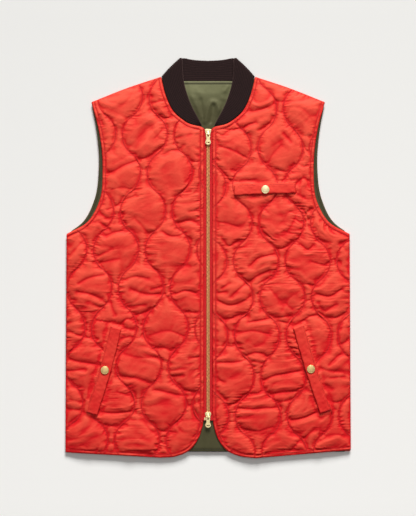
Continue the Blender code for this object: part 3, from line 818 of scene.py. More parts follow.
def triangles(level):
    """The grid's triangles, split so that no diagonal crosses a stitch line."""
    rows, columns = level["active"].shape
    index = np.arange(rows * columns).reshape(rows, columns)
    a, b, c, d = index[:-1, :-1], index[:-1, 1:], index[1:, 1:], index[1:, :-1]
    line = level["pins"].ravel()
    fall = (line[b] & line[d]) & ~(line[a] & line[c])
    held = level["active"].ravel()
    missing = (~held[a] | ~held[c]) & held[b] & held[d]
    fall = np.where(missing, True, np.where(~held[b] | ~held[d], False, fall))
    first = np.where(fall[..., None], np.stack([a, b, d], -1), np.stack([a, b, c], -1))
    second = np.where(fall[..., None], np.stack([b, c, d], -1), np.stack([a, c, d], -1))
    faces = np.concatenate([first.reshape(-1, 3), second.reshape(-1, 3)])
    faces = faces[held[faces].all(1)]
    edge = level["on_edge"].ravel()
    doubtful = edge[faces].all(1)
    middles = level["flat"].reshape(-1, 2)[faces[doubtful]].mean(1)
    doubtful[doubtful] = ~in_outline(middles, level["outline"])
    return faces[~doubtful]


def in_outline(points, outline):
    """True for each of a list of points that the closed outline holds."""
    held = np.zeros(len(points), bool)
    for (x0, y0), (x1, y1) in zip(outline, np.roll(outline, -1, axis=0)):
        crosses = (y0 > points[:, 1]) != (y1 > points[:, 1])
        cut = x0 + (points[:, 1] - y0) * (x1 - x0) / (y1 - y0 if y1 != y0 else 1)
        held ^= crosses & (points[:, 0] < cut)
    return held


def rim_loop(faces, count):
    """The vertices round the sheet's free edge, in order."""
    edges = np.concatenate([faces[:, [0, 1]], faces[:, [1, 2]], faces[:, [2, 0]]])
    key = edges[:, 0] * count + edges[:, 1]
    back = edges[:, 1] * count + edges[:, 0]
    free = edges[~np.isin(key, back)]
    after = dict(map(tuple, free.tolist()))
    loop = [free[0, 0]]
    while (following := after[int(loop[-1])]) != loop[0]:
        loop.append(following)
    return np.array(loop)


# ---- Panels ----
def panel_level(plan, coarsest, cell):
    """One grid over a panel: its flat places, the points that stitches hold, and the ground they lie on."""
    outline = plan["outline"]
    grid = grid_over(outline, coarsest, cell)
    held = inside(grid, outline)
    gap = distance_to(grid, outline, EDGE_REACH, closed_path=True)
    flat, on_edge = snap(grid, np.where(held, gap, -gap), True)
    active = held | on_edge
    edge_gap = np.where(on_edge, 0, distance_to(flat, outline, EDGE_REACH, closed_path=True))
    pins = on_edge.copy()
    for seam in plan["seams"]:
        flat, on_line = snap(flat, seam(flat), ~pins, most=4 * cell)
        pins |= on_line & active
    if "held" in plan:
        pins |= plan["held"](flat) & active
    return {
        "flat": flat, "pins": pins, "active": active, "ground": plan["ground"](flat, edge_gap),
        "on_edge": on_edge, "outline": outline, "trough": troughs(flat, plan["creases"]), "grid": grid,
    }


def creases_of(name):
    return [(list(path), *CREASE_KINDS[kind]) for kind, *path in CREASES[name]]


def troughs(points, creases):
    """How far the listed creases let the cloth down at each point of a grid."""
    depth = np.zeros(points.shape[:2])
    for path, deep, wide in creases:
        line = spline(path, 6) if len(path) > 2 else np.array(path, float)
        gap = distance_to(points, line, wide)
        depth += deep * (1 - gap / wide) ** CREASE_POWER
    return depth


def height_at(level, points, field):
    """A field of the level's grid at places in the plan."""
    grid = level["grid"]
    cell = grid[0, 1, 0] - grid[0, 0, 0]
    u, v = (np.asarray(points) - grid[0, 0]).T / cell
    i, j = np.floor(v).astype(int), np.floor(u).astype(int)
    s, t = u - j, v - i
    low = field[i, j] * (1 - s) + field[i, j + 1] * s
    high = field[i + 1, j] * (1 - s) + field[i + 1, j + 1] * s
    return low * (1 - t) + high * t


def underside(rim):
    """A closed rim's inside as triangles, with points of a coarse grid between.
    Returns those points and the triangles, which number the rim's points first."""
    low, high = rim.min(0), rim.max(0)
    steps = [np.arange(a + UNDER_CELL / 2, b, UNDER_CELL) for a, b in zip(low, high)]
    grid = np.stack(np.meshgrid(*steps), -1).reshape(-1, 2)
    grid = grid[in_outline(grid, rim)]
    grid = grid[path_gap(grid, np.vstack([rim, rim[:1]])) > UNDER_CELL / 3]
    points = np.vstack([rim, grid])
    edges = [(i, (i + 1) % len(rim)) for i in range(len(rim))]
    places, _, faces, sources, _, _ = delaunay_2d_cdt(points.tolist(), edges, [], 0, 1e-5)
    number = np.array([source[0] if source else -1 for source in sources])
    faces = number[np.array(faces)]
    faces = faces[(faces >= 0).all(1)]
    faces = faces[in_outline(points[faces].mean(1), rim)]
    return grid, faces


def path_gap(points, path):
    """The distance from each of a list of points to the path."""
    best = np.full(len(points), 1e9)
    for a, b in zip(path[:-1], path[1:]):
        ahead = b - a
        share = np.clip(((points - a) @ ahead) / (ahead @ ahead), 0, 1)
        best = np.minimum(best, np.linalg.norm(points - a - share[:, None] * ahead, axis=1))
    return best


def add_panel(name, level, under, outer, inner, tuck=TUCK, turn_over=False):
    """The settled sheet as a closed piece: rings turn in under its edge, and an underside closes it.
    turn_over puts the sheet below and its underside on top."""
    faces = triangles(level)
    used, packed = np.unique(faces, return_inverse=True)
    faces = packed.reshape(-1, 3)
    sheet = level["settled"].reshape(-1, 3)[used]
    loop = rim_loop(faces, len(used))
    edge = sheet[loop]
    ahead = np.roll(edge, -1, axis=0) - np.roll(edge, 1, axis=0)
    for _ in range(3):
        ahead = (np.roll(ahead, 1, axis=0) + 2 * ahead + np.roll(ahead, -1, axis=0)) / 4
    inward = np.column_stack([-ahead[:, 1], ahead[:, 0]])
    inward /= np.linalg.norm(inward, axis=1)[:, None]
    low = under(edge[:, :2])
    vertices, parts, before = [sheet], [], loop
    for distance, share in tuck:
        ring = np.column_stack([edge[:, :2] + inward * distance, edge[:, 2] + (low - edge[:, 2]) * share])
        after = sum(map(len, vertices)) + np.arange(len(loop))
        vertices.append(ring)
        parts.append(np.stack([np.roll(before, -1), before, after, np.roll(after, -1)], -1))
        before = after
    extra, cap = underside(ring[:, :2])
    vertices.append(np.column_stack([extra, under(extra)]))
    cap = np.where(cap < len(loop), before[0] + cap, sum(map(len, vertices[:-1])) + cap - len(loop))
    outside = len(faces) + sum(map(len, parts))
    vertices = np.vstack(vertices)
    if turn_over:
        vertices[:, 2] = BACK_THICK - vertices[:, 2]
    faces = [*faces.tolist(), *np.concatenate(parts).tolist(), *cap.tolist()]
    piece = add_mesh(name, vertices, faces, [outer, inner])
    piece.data.polygons.foreach_set("material_index", (np.arange(len(faces)) >= outside).astype(np.int32))
    # Values that the materials read: painted shade along the seams and in the hollows, painted light on the
    # crests, and where the fine creases lie
    gap = level["gap"]
    near = LEAST_CREASED + np.exp(-((gap / CREASED_REACH) ** 2))
    from_edge = distance_to(level["flat"], level["outline"], EDGE_CLEAR, closed_path=True)
    seam = np.exp(-gap / SEAM_SHADE) * smooth_step(from_edge, 0, EDGE_CLEAR)
    for value, field in (("seam", seam), ("near", near), ("crest", crests(level))):
        values = np.zeros(len(vertices))
        values[: len(used)] = field.ravel()[used]
        add_value(piece, value, values)
    return piece


# ---- Meshes ----
def add_mesh(name, vertices, faces, materials, body="garment"):
    """A closed piece that rides on a body. Its vertices are in millimetres."""
    mesh = bpy.data.meshes.new(name)
    mesh.from_pydata((np.asarray(vertices) * MM).tolist(), [], faces)
    whole = bmesh.new()
    whole.from_mesh(mesh)
    bmesh.ops.recalc_face_normals(whole, faces=whole.faces)
    whole.to_mesh(mesh)
    whole.free()
    for material in materials:
        mesh.materials.append(material)
    mesh.shade_smooth()
    made = bpy.data.objects.new(name, mesh)
    bpy.context.scene.collection.objects.link(made)
    if body:
        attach(made, body)
    return made


def add_value(piece, name, values):
    """A number for each of the piece's vertices, which its material reads."""
    attribute = piece.data.attributes.new(name, "FLOAT", "POINT")
    attribute.data.foreach_set("value", np.asarray(values, np.float32))


def join(parts):
    """Several (vertices, faces) as one."""
    vertices, faces, count = [], [], 0
    for points, loops in parts:
        vertices.append(points)
        faces.extend([tuple(int(i) + count for i in loop) for loop in loops])
        count += len(points)
    return np.vstack(vertices), faces


def tube(rings, closed_ends=True):
    """Vertices and faces over rings of points, each ring joined to the next."""
    rings = np.asarray(rings, float)
    count, around = rings.shape[:2]
    index = np.arange(count * around).reshape(count, around)
    following = np.roll(index, -1, axis=1)
    faces = np.stack([index[:-1], following[:-1], following[1:], index[1:]], -1).reshape(-1, 4).tolist()
    if closed_ends:
        faces += [index[0, ::-1].tolist(), index[-1].tolist()]
    return rings.reshape(-1, 3), faces


# ---- Stitches ----
def stitch_row(path, pitch=PITCH, length=STITCH, radius=THREAD):
    """Vertices and faces of stitches along a path in space. Their ends go down into the cloth."""
    run = path_run(path)
    count = int(run[-1] / pitch)
    if count < 1:
        return None
    middles = (np.arange(count) + 0.5) * run[-1] / count
    at = middles[:, None] + np.array([-0.5, -0.3, 0.3, 0.5]) * length
    spine = np.stack([np.interp(at, run, axis) for axis in path.T], -1)
    spine[:, (0, 3), 2] -= 1.2 * radius
    ahead = spine[:, 3] - spine[:, 0]
    ahead /= np.linalg.norm(ahead, axis=1)[:, None]
    side = np.cross(ahead, (0, 0, 1))
    side /= np.linalg.norm(side, axis=1)[:, None]
    up = np.cross(side, ahead)
    turns = np.arange(5) * math.tau / 5
    ring = side[:, None] * np.cos(turns)[:, None] + up[:, None] * np.sin(turns)[:, None]
    wide = radius * np.array([0.45, 1, 1, 0.45])
    vertices = spine[:, :, None] + ring[:, None] * wide[:, None, None]
    index = np.arange(count * 20).reshape(count, 4, 5)
    following = np.roll(index, -1, axis=2)
    walls = np.stack([index[:, :-1], index[:, 1:], following[:, 1:], following[:, :-1]], -1).reshape(-1, 4)
    ends = np.concatenate([index[:, 0], index[:, 3, ::-1]])
    return vertices.reshape(-1, 3), [*walls.tolist(), *ends.tolist()]


def add_stitches(name, paths, material, **sizes):
    rows = [row for path in paths if (row := stitch_row(path, **sizes))]
    return add_mesh(name, *join(rows), [material])


def kept_runs(path, keep):
    """The stretches of the path whose points are all kept."""
    starts = np.flatnonzero(keep & ~np.concatenate([[False], keep[:-1]]))
    ends = np.flatnonzero(keep & ~np.concatenate([keep[1:], [False]])) + 1
    return [path[a:b] for a, b in zip(starts, ends) if b - a > 3]


# ---- Fronts ----
def front_plan(side, lines, creases):
    welts = [welt for welt in WELTS.values() if welt["side"] == side["name"]]

    def topstitch(flat):
        gaps = [distance_to(flat, lines[name], RIM_REACH) - rim for name, rim in RIMS.items()]
        return np.minimum.reduce(gaps)

    def roll(flat):
        shares = [distance_to(flat, lines[name], RIM_REACH) / rim for name, rim in RIMS.items()]
        share = np.clip(np.minimum.reduce(shares), 0, 1)
        much, wide = ROLL_PINCH
        pinch = 1 - much * np.exp(-((quilting(side, flat) / wide) ** 2))
        return ROLL * np.sin(math.pi * share) * pinch * (1 + ROLL_PUCKER * noise(flat, 6, side["seed"] + 30))

    def ground(flat, gap):
        to_seam = np.minimum(*(distance_to(flat, lines[name], EDGE_REACH) for name in ("side", "shoulder")))
        to_zip = distance_to(flat, lines["zip"], EDGE_REACH)
        level = SEAM_Z + SWAY * noise(flat, 80, side["seed"] + 20)
        level = level - SIDE_DROP * (1 - smooth_step(to_seam, 0, SIDE_REACH))
        level = level + FLY_RISE * (1 - smooth_step(to_zip, *FLY_SPAN))
        level = level - EDGE_DROP * (1 - smooth_step(gap, 0, 2.2)) + roll(flat)
        for welt in welts:
            across = welt_across(flat, welt)
            outside = np.maximum(np.abs(across) - welt["width"] / 2 + WELT_TUCK, 0)
            outside = np.hypot(outside, welt_past_end(flat, welt))
            level = level + (WELT_GROUND - level) * (1 - smooth_step(outside, 0, WELT_SLOPE))
            from_slot = across * welt["open_side"] - welt["width"] / 2 - SLOT_PLACE[0]
            slot = np.exp(-((from_slot / SLOT_PLACE[1]) ** 2))
            level = level - SLOT_DEPTH * slot * (1 - smooth_step(welt_past_end(flat, welt), *SLOT_ENDS))
        return level

    def under_welts(flat):
        return np.logical_or.reduce([welt_gap(flat, welt) < 0 for welt in welts])

    return {
        "outline": closed(lines.values()),
        "seams": [topstitch, lambda flat: quilting(side, flat)],
        "held": under_welts,
        "ground": ground,
        "creases": creases,
    }


def front_under(lines):
    """The level of a front's underside, which is lower at its seams and climbs over the zip tape."""
    def under(places):
        points = places.reshape(-1, 2)
        to_seam = np.minimum(*(path_gap(points, lines[name]) for name in ("side", "shoulder")))
        to_zip = path_gap(points, lines["zip"])
        level = UNDER_Z - (UNDER_Z - SIDE_UNDER_Z) * (1 - smooth_step(to_seam, 0, SIDE_REACH))
        level = level + (FLY_UNDER_Z - UNDER_Z) * (1 - smooth_step(to_zip, *FLY_SPAN))
        return level.reshape(places.shape[:-1])
    return under


def front_stitches(side, lines, level):
    """The paths that a front's thread follows, over the quilting and along the rims."""
    outline = level["outline"]
    outline = np.vstack([outline, outline[:1]])
    welts = [welt for welt in WELTS.values() if welt["side"] == side["name"]]
    paths = []
    for path in quilting_paths(side):
        keep = in_outline(path, level["outline"]) & (path_gap(path, outline) > 1.0)
        paths += kept_runs(path, keep)
    for name, rim in RIMS.items():
        path = sideways(resample(lines[name], 1.0), rim * side["turn"])
        keep = in_outline(path, level["outline"])
        for other, other_rim in RIMS.items():
            keep &= path_gap(path, lines[other]) > other_rim - 0.2
        paths += kept_runs(path, keep)
    lifted = []
    for path in paths:
        for welt in welts:
            path = path[welt_gap(path[None], welt)[0] > 1.0] if len(path) else path
        if len(path) > 3:
            lifted.append(np.column_stack([path, height_at(level, path, level["ground"]) + THREAD]))
    return lifted


def make_fronts(nylon, lining, thread):
    for name, side in SIDES.items():
        lines = front_lines(side)
        creases = creases_of(name)
        plan = front_plan(side, lines, creases)
        cells = ((4 * CELL, 2 * CELL, CELL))
        feel = {**FEEL, "seed": side["seed"]}
        level = settle(lambda cell: panel_level(plan, cells[0], cell), cells, feel)
        crumple(level, feel, creases)
        under = front_under(lines)
        level["settled"][..., 2] = np.maximum(level["settled"][..., 2], under(level["flat"]) + LEAST_THICK)
        piece = add_panel(f"quilt_front_{name}", level, under, nylon, lining)
        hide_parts(f"front_{name}")
        stitches = add_stitches(f"stitches_front_{name}", front_stitches(side, lines, level), thread)


# ---- Back and lining ----
def back_outline(inset=0.0):
    """The back's closed outline, clockwise from the hem at the right, moved in from the edges."""
    armhole = spline([(-CHEST_HALF, UNDERARM_Y), *BACK_ARMHOLE, SHOULDER_TIP])
    middle = (np.array(SHOULDER_TIP) + NECK_POINT) / 2 + (0, SHOULDER_BOW)
    shoulder = spline([SHOULDER_TIP, middle, NECK_POINT])
    neck = spline([NECK_POINT, *BACK_NECK, (0, BACK_NECK_Y), (-BACK_NECK[-1][0], BACK_NECK[-1][1])])
    neck = neck[neck[:, 0] <= 0]
    half = np.vstack([[(-HALF_WIDTH, BACK_HEM_Y)], armhole[:-1], shoulder[:-1], neck])
    half = resample(half, OUTLINE_STEP)
    hem = resample([(HALF_WIDTH, BACK_HEM_Y), (-HALF_WIDTH, BACK_HEM_Y)], OUTLINE_STEP)
    whole = np.vstack([half, half[-2::-1] * (-1, 1), hem[1:-1]])
    if inset:
        ahead = np.roll(whole, -1, axis=0) - np.roll(whole, 1, axis=0)
        ahead /= np.linalg.norm(ahead, axis=1)[:, None]
        whole = whole + np.column_stack([ahead[:, 1], -ahead[:, 0]]) * inset
    return whole


def make_back(nylon, lining, thread):
    outline = back_outline(BACK_INSET)
    side = SIDES["right"]
    plan = {
        "outline": outline,
        "seams": [lambda flat: quilting(side, flat)],
        "ground": lambda flat, gap: 1.0 * smooth_step(gap, 0, 4),
        "creases": [],
    }
    cells = ((4 * BACK_CELL, 2 * BACK_CELL, BACK_CELL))
    level = settle(lambda cell: panel_level(plan, cells[0], cell), cells, {**FEEL, "seed": 31})
    bulge = level["settled"][..., 2] - level["ground"]
    edge = smooth_step(distance_to(level["flat"], outline, 30, closed_path=True), 0, 5.0)
    low = BACK_GROOVE * np.exp(-np.maximum(bulge, 0) / BACK_SQUASH)
    level["settled"][..., 2] = BACK_THICK - low * edge - BACK_EDGE_Z * (1 - edge)
    piece = add_panel(
        "quilt_back", level, lambda points: np.full(len(points), 0.1), nylon, lining,
        tuck=((0.4, 0.6), (1.2, 1.0)), turn_over=True,
    )
    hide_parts("back_panel")
    paths = []
    rim = np.vstack([outline, outline[:1]])
    for path in quilting_paths(side):
        keep = in_outline(path, outline) & (path_gap(path, rim) > 2.0)
        for run in kept_runs(path, keep):
            paths.append(np.column_stack([run, np.full(len(run), BACK_GROOVE - THREAD)]))
    stitches = add_stitches("stitches_back", paths, thread, pitch=4.0, length=2.8)


def lining_height(points, gap):
    """The lining's upper side: soft wrinkles, and edges that roll down."""
    level = LINING_Z + 0.35 * noise(points, 42, 51) + 0.2 * noise(points, 19, 52)
    edge = np.interp(points[..., 1], *np.array([COLLAR_TIP, *COLLAR_FRONT_EDGE[::-1]]).T[::-1])
    shown = -edge - np.abs(points[..., 0])
    level = level + troughs(points, LINING_FOLDS) + LINING_SWELL * smooth_step(shown, 0, 9)
    level = np.minimum(level, LINING_TOP_Z + LINING_FREE * smooth_step(shown, 1, 6))
    level = level - LINING_ROLL * (1 - smooth_step(gap, 0, 3.0))
    level = level - LINING_GROOVE * np.exp(-(((gap - LINING_STITCH) / 1.5) ** 2))
    return np.maximum(level, LINING_UNDER_Z + 0.35)


def lining_outline():
    outline = back_outline(0.1)
    straight = (np.abs(outline[:, 0]) < -BACK_NECK[1][0]) & (outline[:, 1] > 0)
    outline[straight, 1] = BACK_NECK_Y + LINING_LAP
    inside_x = CHEST_HALF - LINING_INSET
    outline[:, 0] = np.clip(outline[:, 0], -inside_x, inside_x)
    near = [np.linalg.norm(outline - tip, axis=1) for tip in (SHOULDER_TIP, np.array(SHOULDER_TIP) * (-1, 1))]
    outline = outline[(np.minimum(*near) > LINING_INSET)]
    return resample(np.vstack([outline, outline[:1]]), OUTLINE_STEP)[:-1]


def make_lining(lining, thread):
    outline = lining_outline()
    plan = {
        "outline": outline, "seams": [], "creases": [],
        "ground": lining_height,
    }
    level = panel_level(plan, LINING_CELL, LINING_CELL)
    level["settled"] = np.dstack([level["flat"], level["ground"]])
    from_stitch = np.abs(distance_to(level["flat"], outline, 30, closed_path=True) - LINING_STITCH)
    level["gap"] = np.maximum(from_stitch - LINING_DARK, 0)
    piece = add_panel(
        "lining_back", level, lambda points: np.full(len(points), LINING_UNDER_Z), lining, lining,
        tuck=((0.15, 0.6), (0.4, 1.0)),
    )
    heights = np.array([vertex.co.y for vertex in piece.data.vertices]) / MM
    # painted shadow: the lining darker below the neck, where the fronts and the collar close over it
    add_value(piece, "depth", 1 - smooth_step(heights, *LINING_SHADOW_SPAN))
    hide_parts("back_lining")
    paths = []
    rim = back_outline(LINING_STITCH)
    rim[:, 1] += np.where((np.abs(rim[:, 0]) < -BACK_NECK[1][0]) & (rim[:, 1] > 0), LINING_LAP, 0)
    shown = (np.abs(rim[:, 0]) < 85) | (np.abs(rim[:, 1] - 170) < 118)
    for run in kept_runs(rim, shown):
        run = resample(run, 1.0)
        paths.append(np.column_stack([run, height_at(level, run, level["ground"]) + THREAD]))
    stitches = add_stitches("stitches_lining", paths, thread)


# ---- Collar ----
def collar_stations():
    """The collar's middle surface at each station from its right tip to the middle of the back:
    the seam's point and the free edge's point, both in space."""
    lines = front_lines(SIDES["right"])
    outward = np.array([NECK_POINT[1] - COLLAR_TOP_CORNER[1], COLLAR_TOP_CORNER[0] - NECK_POINT[0]])
    outward /= np.linalg.norm(outward)
    turn = (COLLAR_FRONT_Z - COLLAR_BACK_Z) / 2
    inset = outward * (COLLAR_FOLD + COLLAR_THICK / 2)
    clear = COLLAR_CLEAR * np.array([outward[1], -outward[0]])
    fold_seam = NECK_POINT - inset + clear
    fold_top = np.array(COLLAR_TOP_CORNER) + (COLLAR_FOLD + COLLAR_THICK / 2, -0.4)
    neckline = lines["neck"][::-1]
    seam = np.vstack([sideways(neckline, COLLAR_GAP)[:-1], [fold_seam]])
    shares = np.linspace(0, 1, COLLAR_STATIONS["front"])
    free = along(spline([COLLAR_TIP, *COLLAR_FRONT_EDGE[::-1], fold_top]), shares)
    seam = along(resample(seam, 4.0), shares)
    stations = [((*a, COLLAR_FRONT_Z), (*b, COLLAR_FRONT_Z)) for a, b in zip(seam, free)]
    up = (fold_top - fold_seam) / np.linalg.norm(fold_top - fold_seam)
    for angle in np.radians(np.linspace(80, -80, COLLAR_STATIONS["fold"])):
        level = (COLLAR_FRONT_Z + COLLAR_BACK_Z) / 2 + turn * math.sin(angle)
        bulge = outward * COLLAR_FOLD * math.cos(angle)
        more = up * COLLAR_TURN_IN * math.cos(angle)
        low, high = fold_seam + bulge - more, fold_top - (COLLAR_FOLD * math.cos(angle), 0)
        stations.append(((*low, level), (*high, level)))
    ends = [np.array(p) + (0, 3 * GAP) for p in BACK_NECK[1:]]
    back_seam = spline([fold_seam, *ends, (0, BACK_NECK_Y), (-ends[-1][0], ends[-1][1])])
    back_seam = back_seam[back_seam[:, 0] <= 0] + (0, 2 * GAP)
    across = np.linspace(0, 1, COLLAR_STATIONS["back"])
    back_free = along(spline([fold_top, *COLLAR_BACK_EDGE, (0, TOP_Y - COLLAR_SAG)]), across)
    for share, a, b in zip(across, along(back_seam, across), back_free):
        rise = (COLLAR_SEAM_Z - COLLAR_BACK_Z) * smooth_step(share, 0, 0.15)
        stations.append(((*a, COLLAR_BACK_Z + rise), (*b, COLLAR_BACK_Z)))
    half = np.array(stations)
    half[-1, :, 0] = 0
    bow = np.zeros(len(half))
    fold = slice(COLLAR_STATIONS["front"], COLLAR_STATIONS["front"] + COLLAR_STATIONS["fold"])
    bow[fold] = COLLAR_BOW
    for _ in range(8):
        bow[1:-1] = (bow[:-2] + 2 * bow[1:-1] + bow[2:]) / 4
    bow = bow[:, None] * (*outward, 0)
    mirror = (-1, 1, 1)
    return np.concatenate([half, half[-2::-1] * mirror]), np.concatenate([bow, bow[-2::-1] * mirror])


def make_collar(rib):
    stations, bow = collar_stations()
    height = stations[:, 1] - stations[:, 0]
    long = np.linalg.norm(height, axis=1)
    height /= long[:, None]
    from_corner = np.linalg.norm(np.abs(stations[:, 1, :2]) - np.abs(COLLAR_TOP_CORNER), axis=1)
    long -= COLLAR_ROUND[0] * np.exp(-((from_corner / COLLAR_ROUND[1]) ** 2))
    ahead = np.gradient(stations.mean(1), axis=0)
    for _ in range(2):
        ahead[1:-1] = (ahead[:-2] + 2 * ahead[1:-1] + ahead[2:]) / 4
    normal = np.cross(height, ahead)
    normal /= np.linalg.norm(normal, axis=1)[:, None]
    round_ = COLLAR_THICK / 2
    ribs = int(round((long.max() - 2 * round_) / RIB_PITCH))
    rows = np.linspace(0, 1, 4 * ribs + 1)
    wave = RIB_DEPTH * (np.cos(np.arange(len(rows)) * math.pi / 2) - 1) / 2
    arc = np.radians(np.linspace(90, -90, 9))[1:-1]
    rings, across, edges = [], [], []
    for place, up, out, tall, bowed in zip(stations[:, 0], height, normal, long, bow):
        straight = round_ + rows * (tall - 2 * round_)
        outer = place + np.outer(straight, up) + np.outer(round_ + wave, out)
        inner = place + np.outer(straight[::-1], up) - np.outer(round_ + wave[::-1], out)
        top = place + np.outer(tall - round_ + round_ * np.cos(arc), up) + np.outer(round_ * np.sin(arc), out)
        foot = place + np.outer(round_ - round_ * np.cos(arc), up) - np.outer(round_ * np.sin(arc), out)
        over = np.concatenate([straight, np.full(len(arc), tall), straight[::-1], np.zeros(len(arc))])
        rings.append(np.vstack([outer, top, inner, foot]) + np.outer(np.sin(over / tall * math.pi), bowed))
        across.append(over)
        # painted highlight along the free edge, and over the fold where it bows out
        edges.append(np.exp(-(tall - over) / COLLAR_HIGHLIGHT_REACH) + np.linalg.norm(bowed) / COLLAR_BOW * 0.4)
    piece = add_mesh("rib_collar", *tube(rings), [rib])
    add_value(piece, "across", np.concatenate(across))
    add_value(piece, "edge", np.concatenate(edges))
    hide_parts("collar")
    run = path_run(stations.mean(1))[-1]


# ---- Pocket welts ----
def welt_line(welt):
    return resample(spline(welt["line"]), 1.0)


def welt_across(flat, welt):
    """How far to the right of the welt's middle line each point of the plan lies."""
    line = np.array(welt["line"])
    best, across = np.full(flat.shape[:2], 1e9), np.zeros(flat.shape[:2])
    for number, (a, b) in enumerate(zip(line[:-1], line[1:])):
        ahead = (b - a) / np.linalg.norm(b - a)
        along_it = (flat - a) @ ahead
        past = np.maximum(-along_it, along_it - np.linalg.norm(b - a))
        if number == 0:
            past = np.where(along_it < 0, 0, past)
        if number == len(line) - 2:
            past = np.where(along_it > 0, 0, past)
        offset = (flat - a) @ np.array([ahead[1], -ahead[0]])
        nearer = np.maximum(past, 0) < best
        across = np.where(nearer, offset, across)
        best = np.where(nearer, np.maximum(past, 0), best)
    return across


def welt_past_end(flat, welt):
    """How far past the nearer end of the welt each point of the plan lies."""
    line = np.array(welt["line"])
    first = (line[1] - line[0]) / np.linalg.norm(line[1] - line[0])
    last = (line[-1] - line[-2]) / np.linalg.norm(line[-1] - line[-2])
    past = np.maximum((line[0] - flat) @ first, (flat - line[-1]) @ last)
    return np.maximum(past, 0)


def welt_gap(flat, welt):
    """The distance outside the strip that the welt covers, or less than zero under it."""
    outside = np.abs(welt_across(flat, welt)) - welt["width"] / 2 + WELT_TUCK
    past = welt_past_end(flat, welt)
    return np.where(past > 0, np.hypot(np.maximum(outside, 0), past), outside)


def make_welt(name, welt, nylon, thread):
    """A folded strip, sewn down along one side and at its ends, open along the other."""
    line = welt_line(welt)
    run = path_run(line)
    half = welt["width"] / 2
    ahead = np.gradient(line, axis=0)
    ahead /= np.linalg.norm(ahead, axis=1)[:, None]
    out = np.column_stack([ahead[:, 1], -ahead[:, 0]]) * welt["open_side"]
    middle = np.linspace(-0.8, 0.8, 17)[1:-1]
    across = np.concatenate([np.linspace(-1, -0.82, 6), middle, np.linspace(0.82, 1, 6)])
    ends = np.minimum(run, run[-1] - run)
    rise = WELT_RISE * (1 - (1 - np.clip(ends / 3.0, 0, 1)) ** 2) ** 0.5
    rings = []
    for place, sideward, s, lift in zip(line, out, run, rise):
        crown = (1 - np.abs(across) ** 10) ** 0.5
        tilt = WELT_TILT * (across + 1) / 2 * lift / WELT_RISE
        wide = across * (half + WELT_WOBBLE * math.sin(s / 4.1 + welt["width"]) * math.sin(s / 9.7))
        spots = place + np.outer(wide, sideward)
        puff = WELT_PUCKER * (noise(spots, 9, 61) + 0.6 * noise(spots, 4, 62))
        seam = np.exp(-(((across + 1 - WELT_SEAM / half) * half / 0.8) ** 2))
        upper = WELT_FOOT + (lift + puff * lift / WELT_RISE - WELT_GROOVE * seam) * crown + tilt
        lower = np.full(len(across), WELT_FOOT - 0.1) + np.minimum(tilt, 0.6) * 0.5
        top = np.column_stack([place + np.outer(wide, sideward), upper])
        bottom = np.column_stack([place + np.outer(wide[1:-1][::-1] * 0.98, sideward), lower[1:-1][::-1]])
        rings.append(np.vstack([top, bottom]))
    piece = add_mesh(f"strip_{name}", *tube(rings), [nylon])
    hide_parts(name)
    paths = []
    for s in (WELT_SEAM, run[-1] - WELT_SEAM):
        at = along(line, [s / run[-1]])[0]
        sideward = out[int(s)]
        for shift in (-0.45, 0.45):
            bar = at + np.outer(np.linspace(-0.92, 0.92, 20) * half, sideward) + ahead[int(s)] * shift
            paths.append(np.column_stack([bar, np.full(len(bar), WELT_FOOT + WELT_RISE * 0.9 + 0.3)]))
    edge = line[3:-3] - out[3:-3] * (half - WELT_SEAM)
    paths.append(np.column_stack([edge, np.full(len(edge), WELT_FOOT + WELT_RISE + 0.1)]))
    stitches = add_stitches(f"stitches_{name}", paths, thread, pitch=2.6, length=1.9)


# ---- Snaps ----
def make_snap(name, place, brass):
    """A turned cap: a rolled rim, a groove and a shallow dome."""
    turns = np.arange(48) * math.tau / 48
    ring = np.column_stack([np.cos(turns), np.sin(turns)])
    rings = []
    for radius, height in SNAP_PROFILE:
        rings.append(np.column_stack([ring * radius * SNAP_RADIUS + place, np.full(48, SNAP_FOOT + height)]))
    piece = add_mesh(f"cap_{name}", *tube(rings), [brass])
    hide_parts(name)


# ---- Zip ----
def tooth(turn, y):
    """One tooth: a foot on the tape, a neck, and a head that reaches between its two neighbours."""
    rings = []
    for x, half, low, high in TOOTH:
        corner = 0.3
        section = [
            (-half, low + corner), (-half + corner, low), (half - corner, low), (half, low + corner),
            (half, high - corner), (half - corner, high), (-half + corner, high), (-half, high - corner),
        ]
        rings.append([(x * turn, y + a, b) for a, b in section[:: int(turn)]])
    return tube(rings)


def make_teeth(brass):
    for name, turn, shift in (("right", -1, 0.0), ("left", 1, 0.5)):
        count = int((CHAIN[1] - CHAIN[0]) / TOOTH_PITCH) - 1
        teeth = [tooth(turn, CHAIN[0] + (i + 0.5 + shift) * TOOTH_PITCH) for i in range(count)]
        piece = add_mesh(f"teeth_{name}", *join(teeth), [brass])
        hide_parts(f"zip_teeth_{name}")


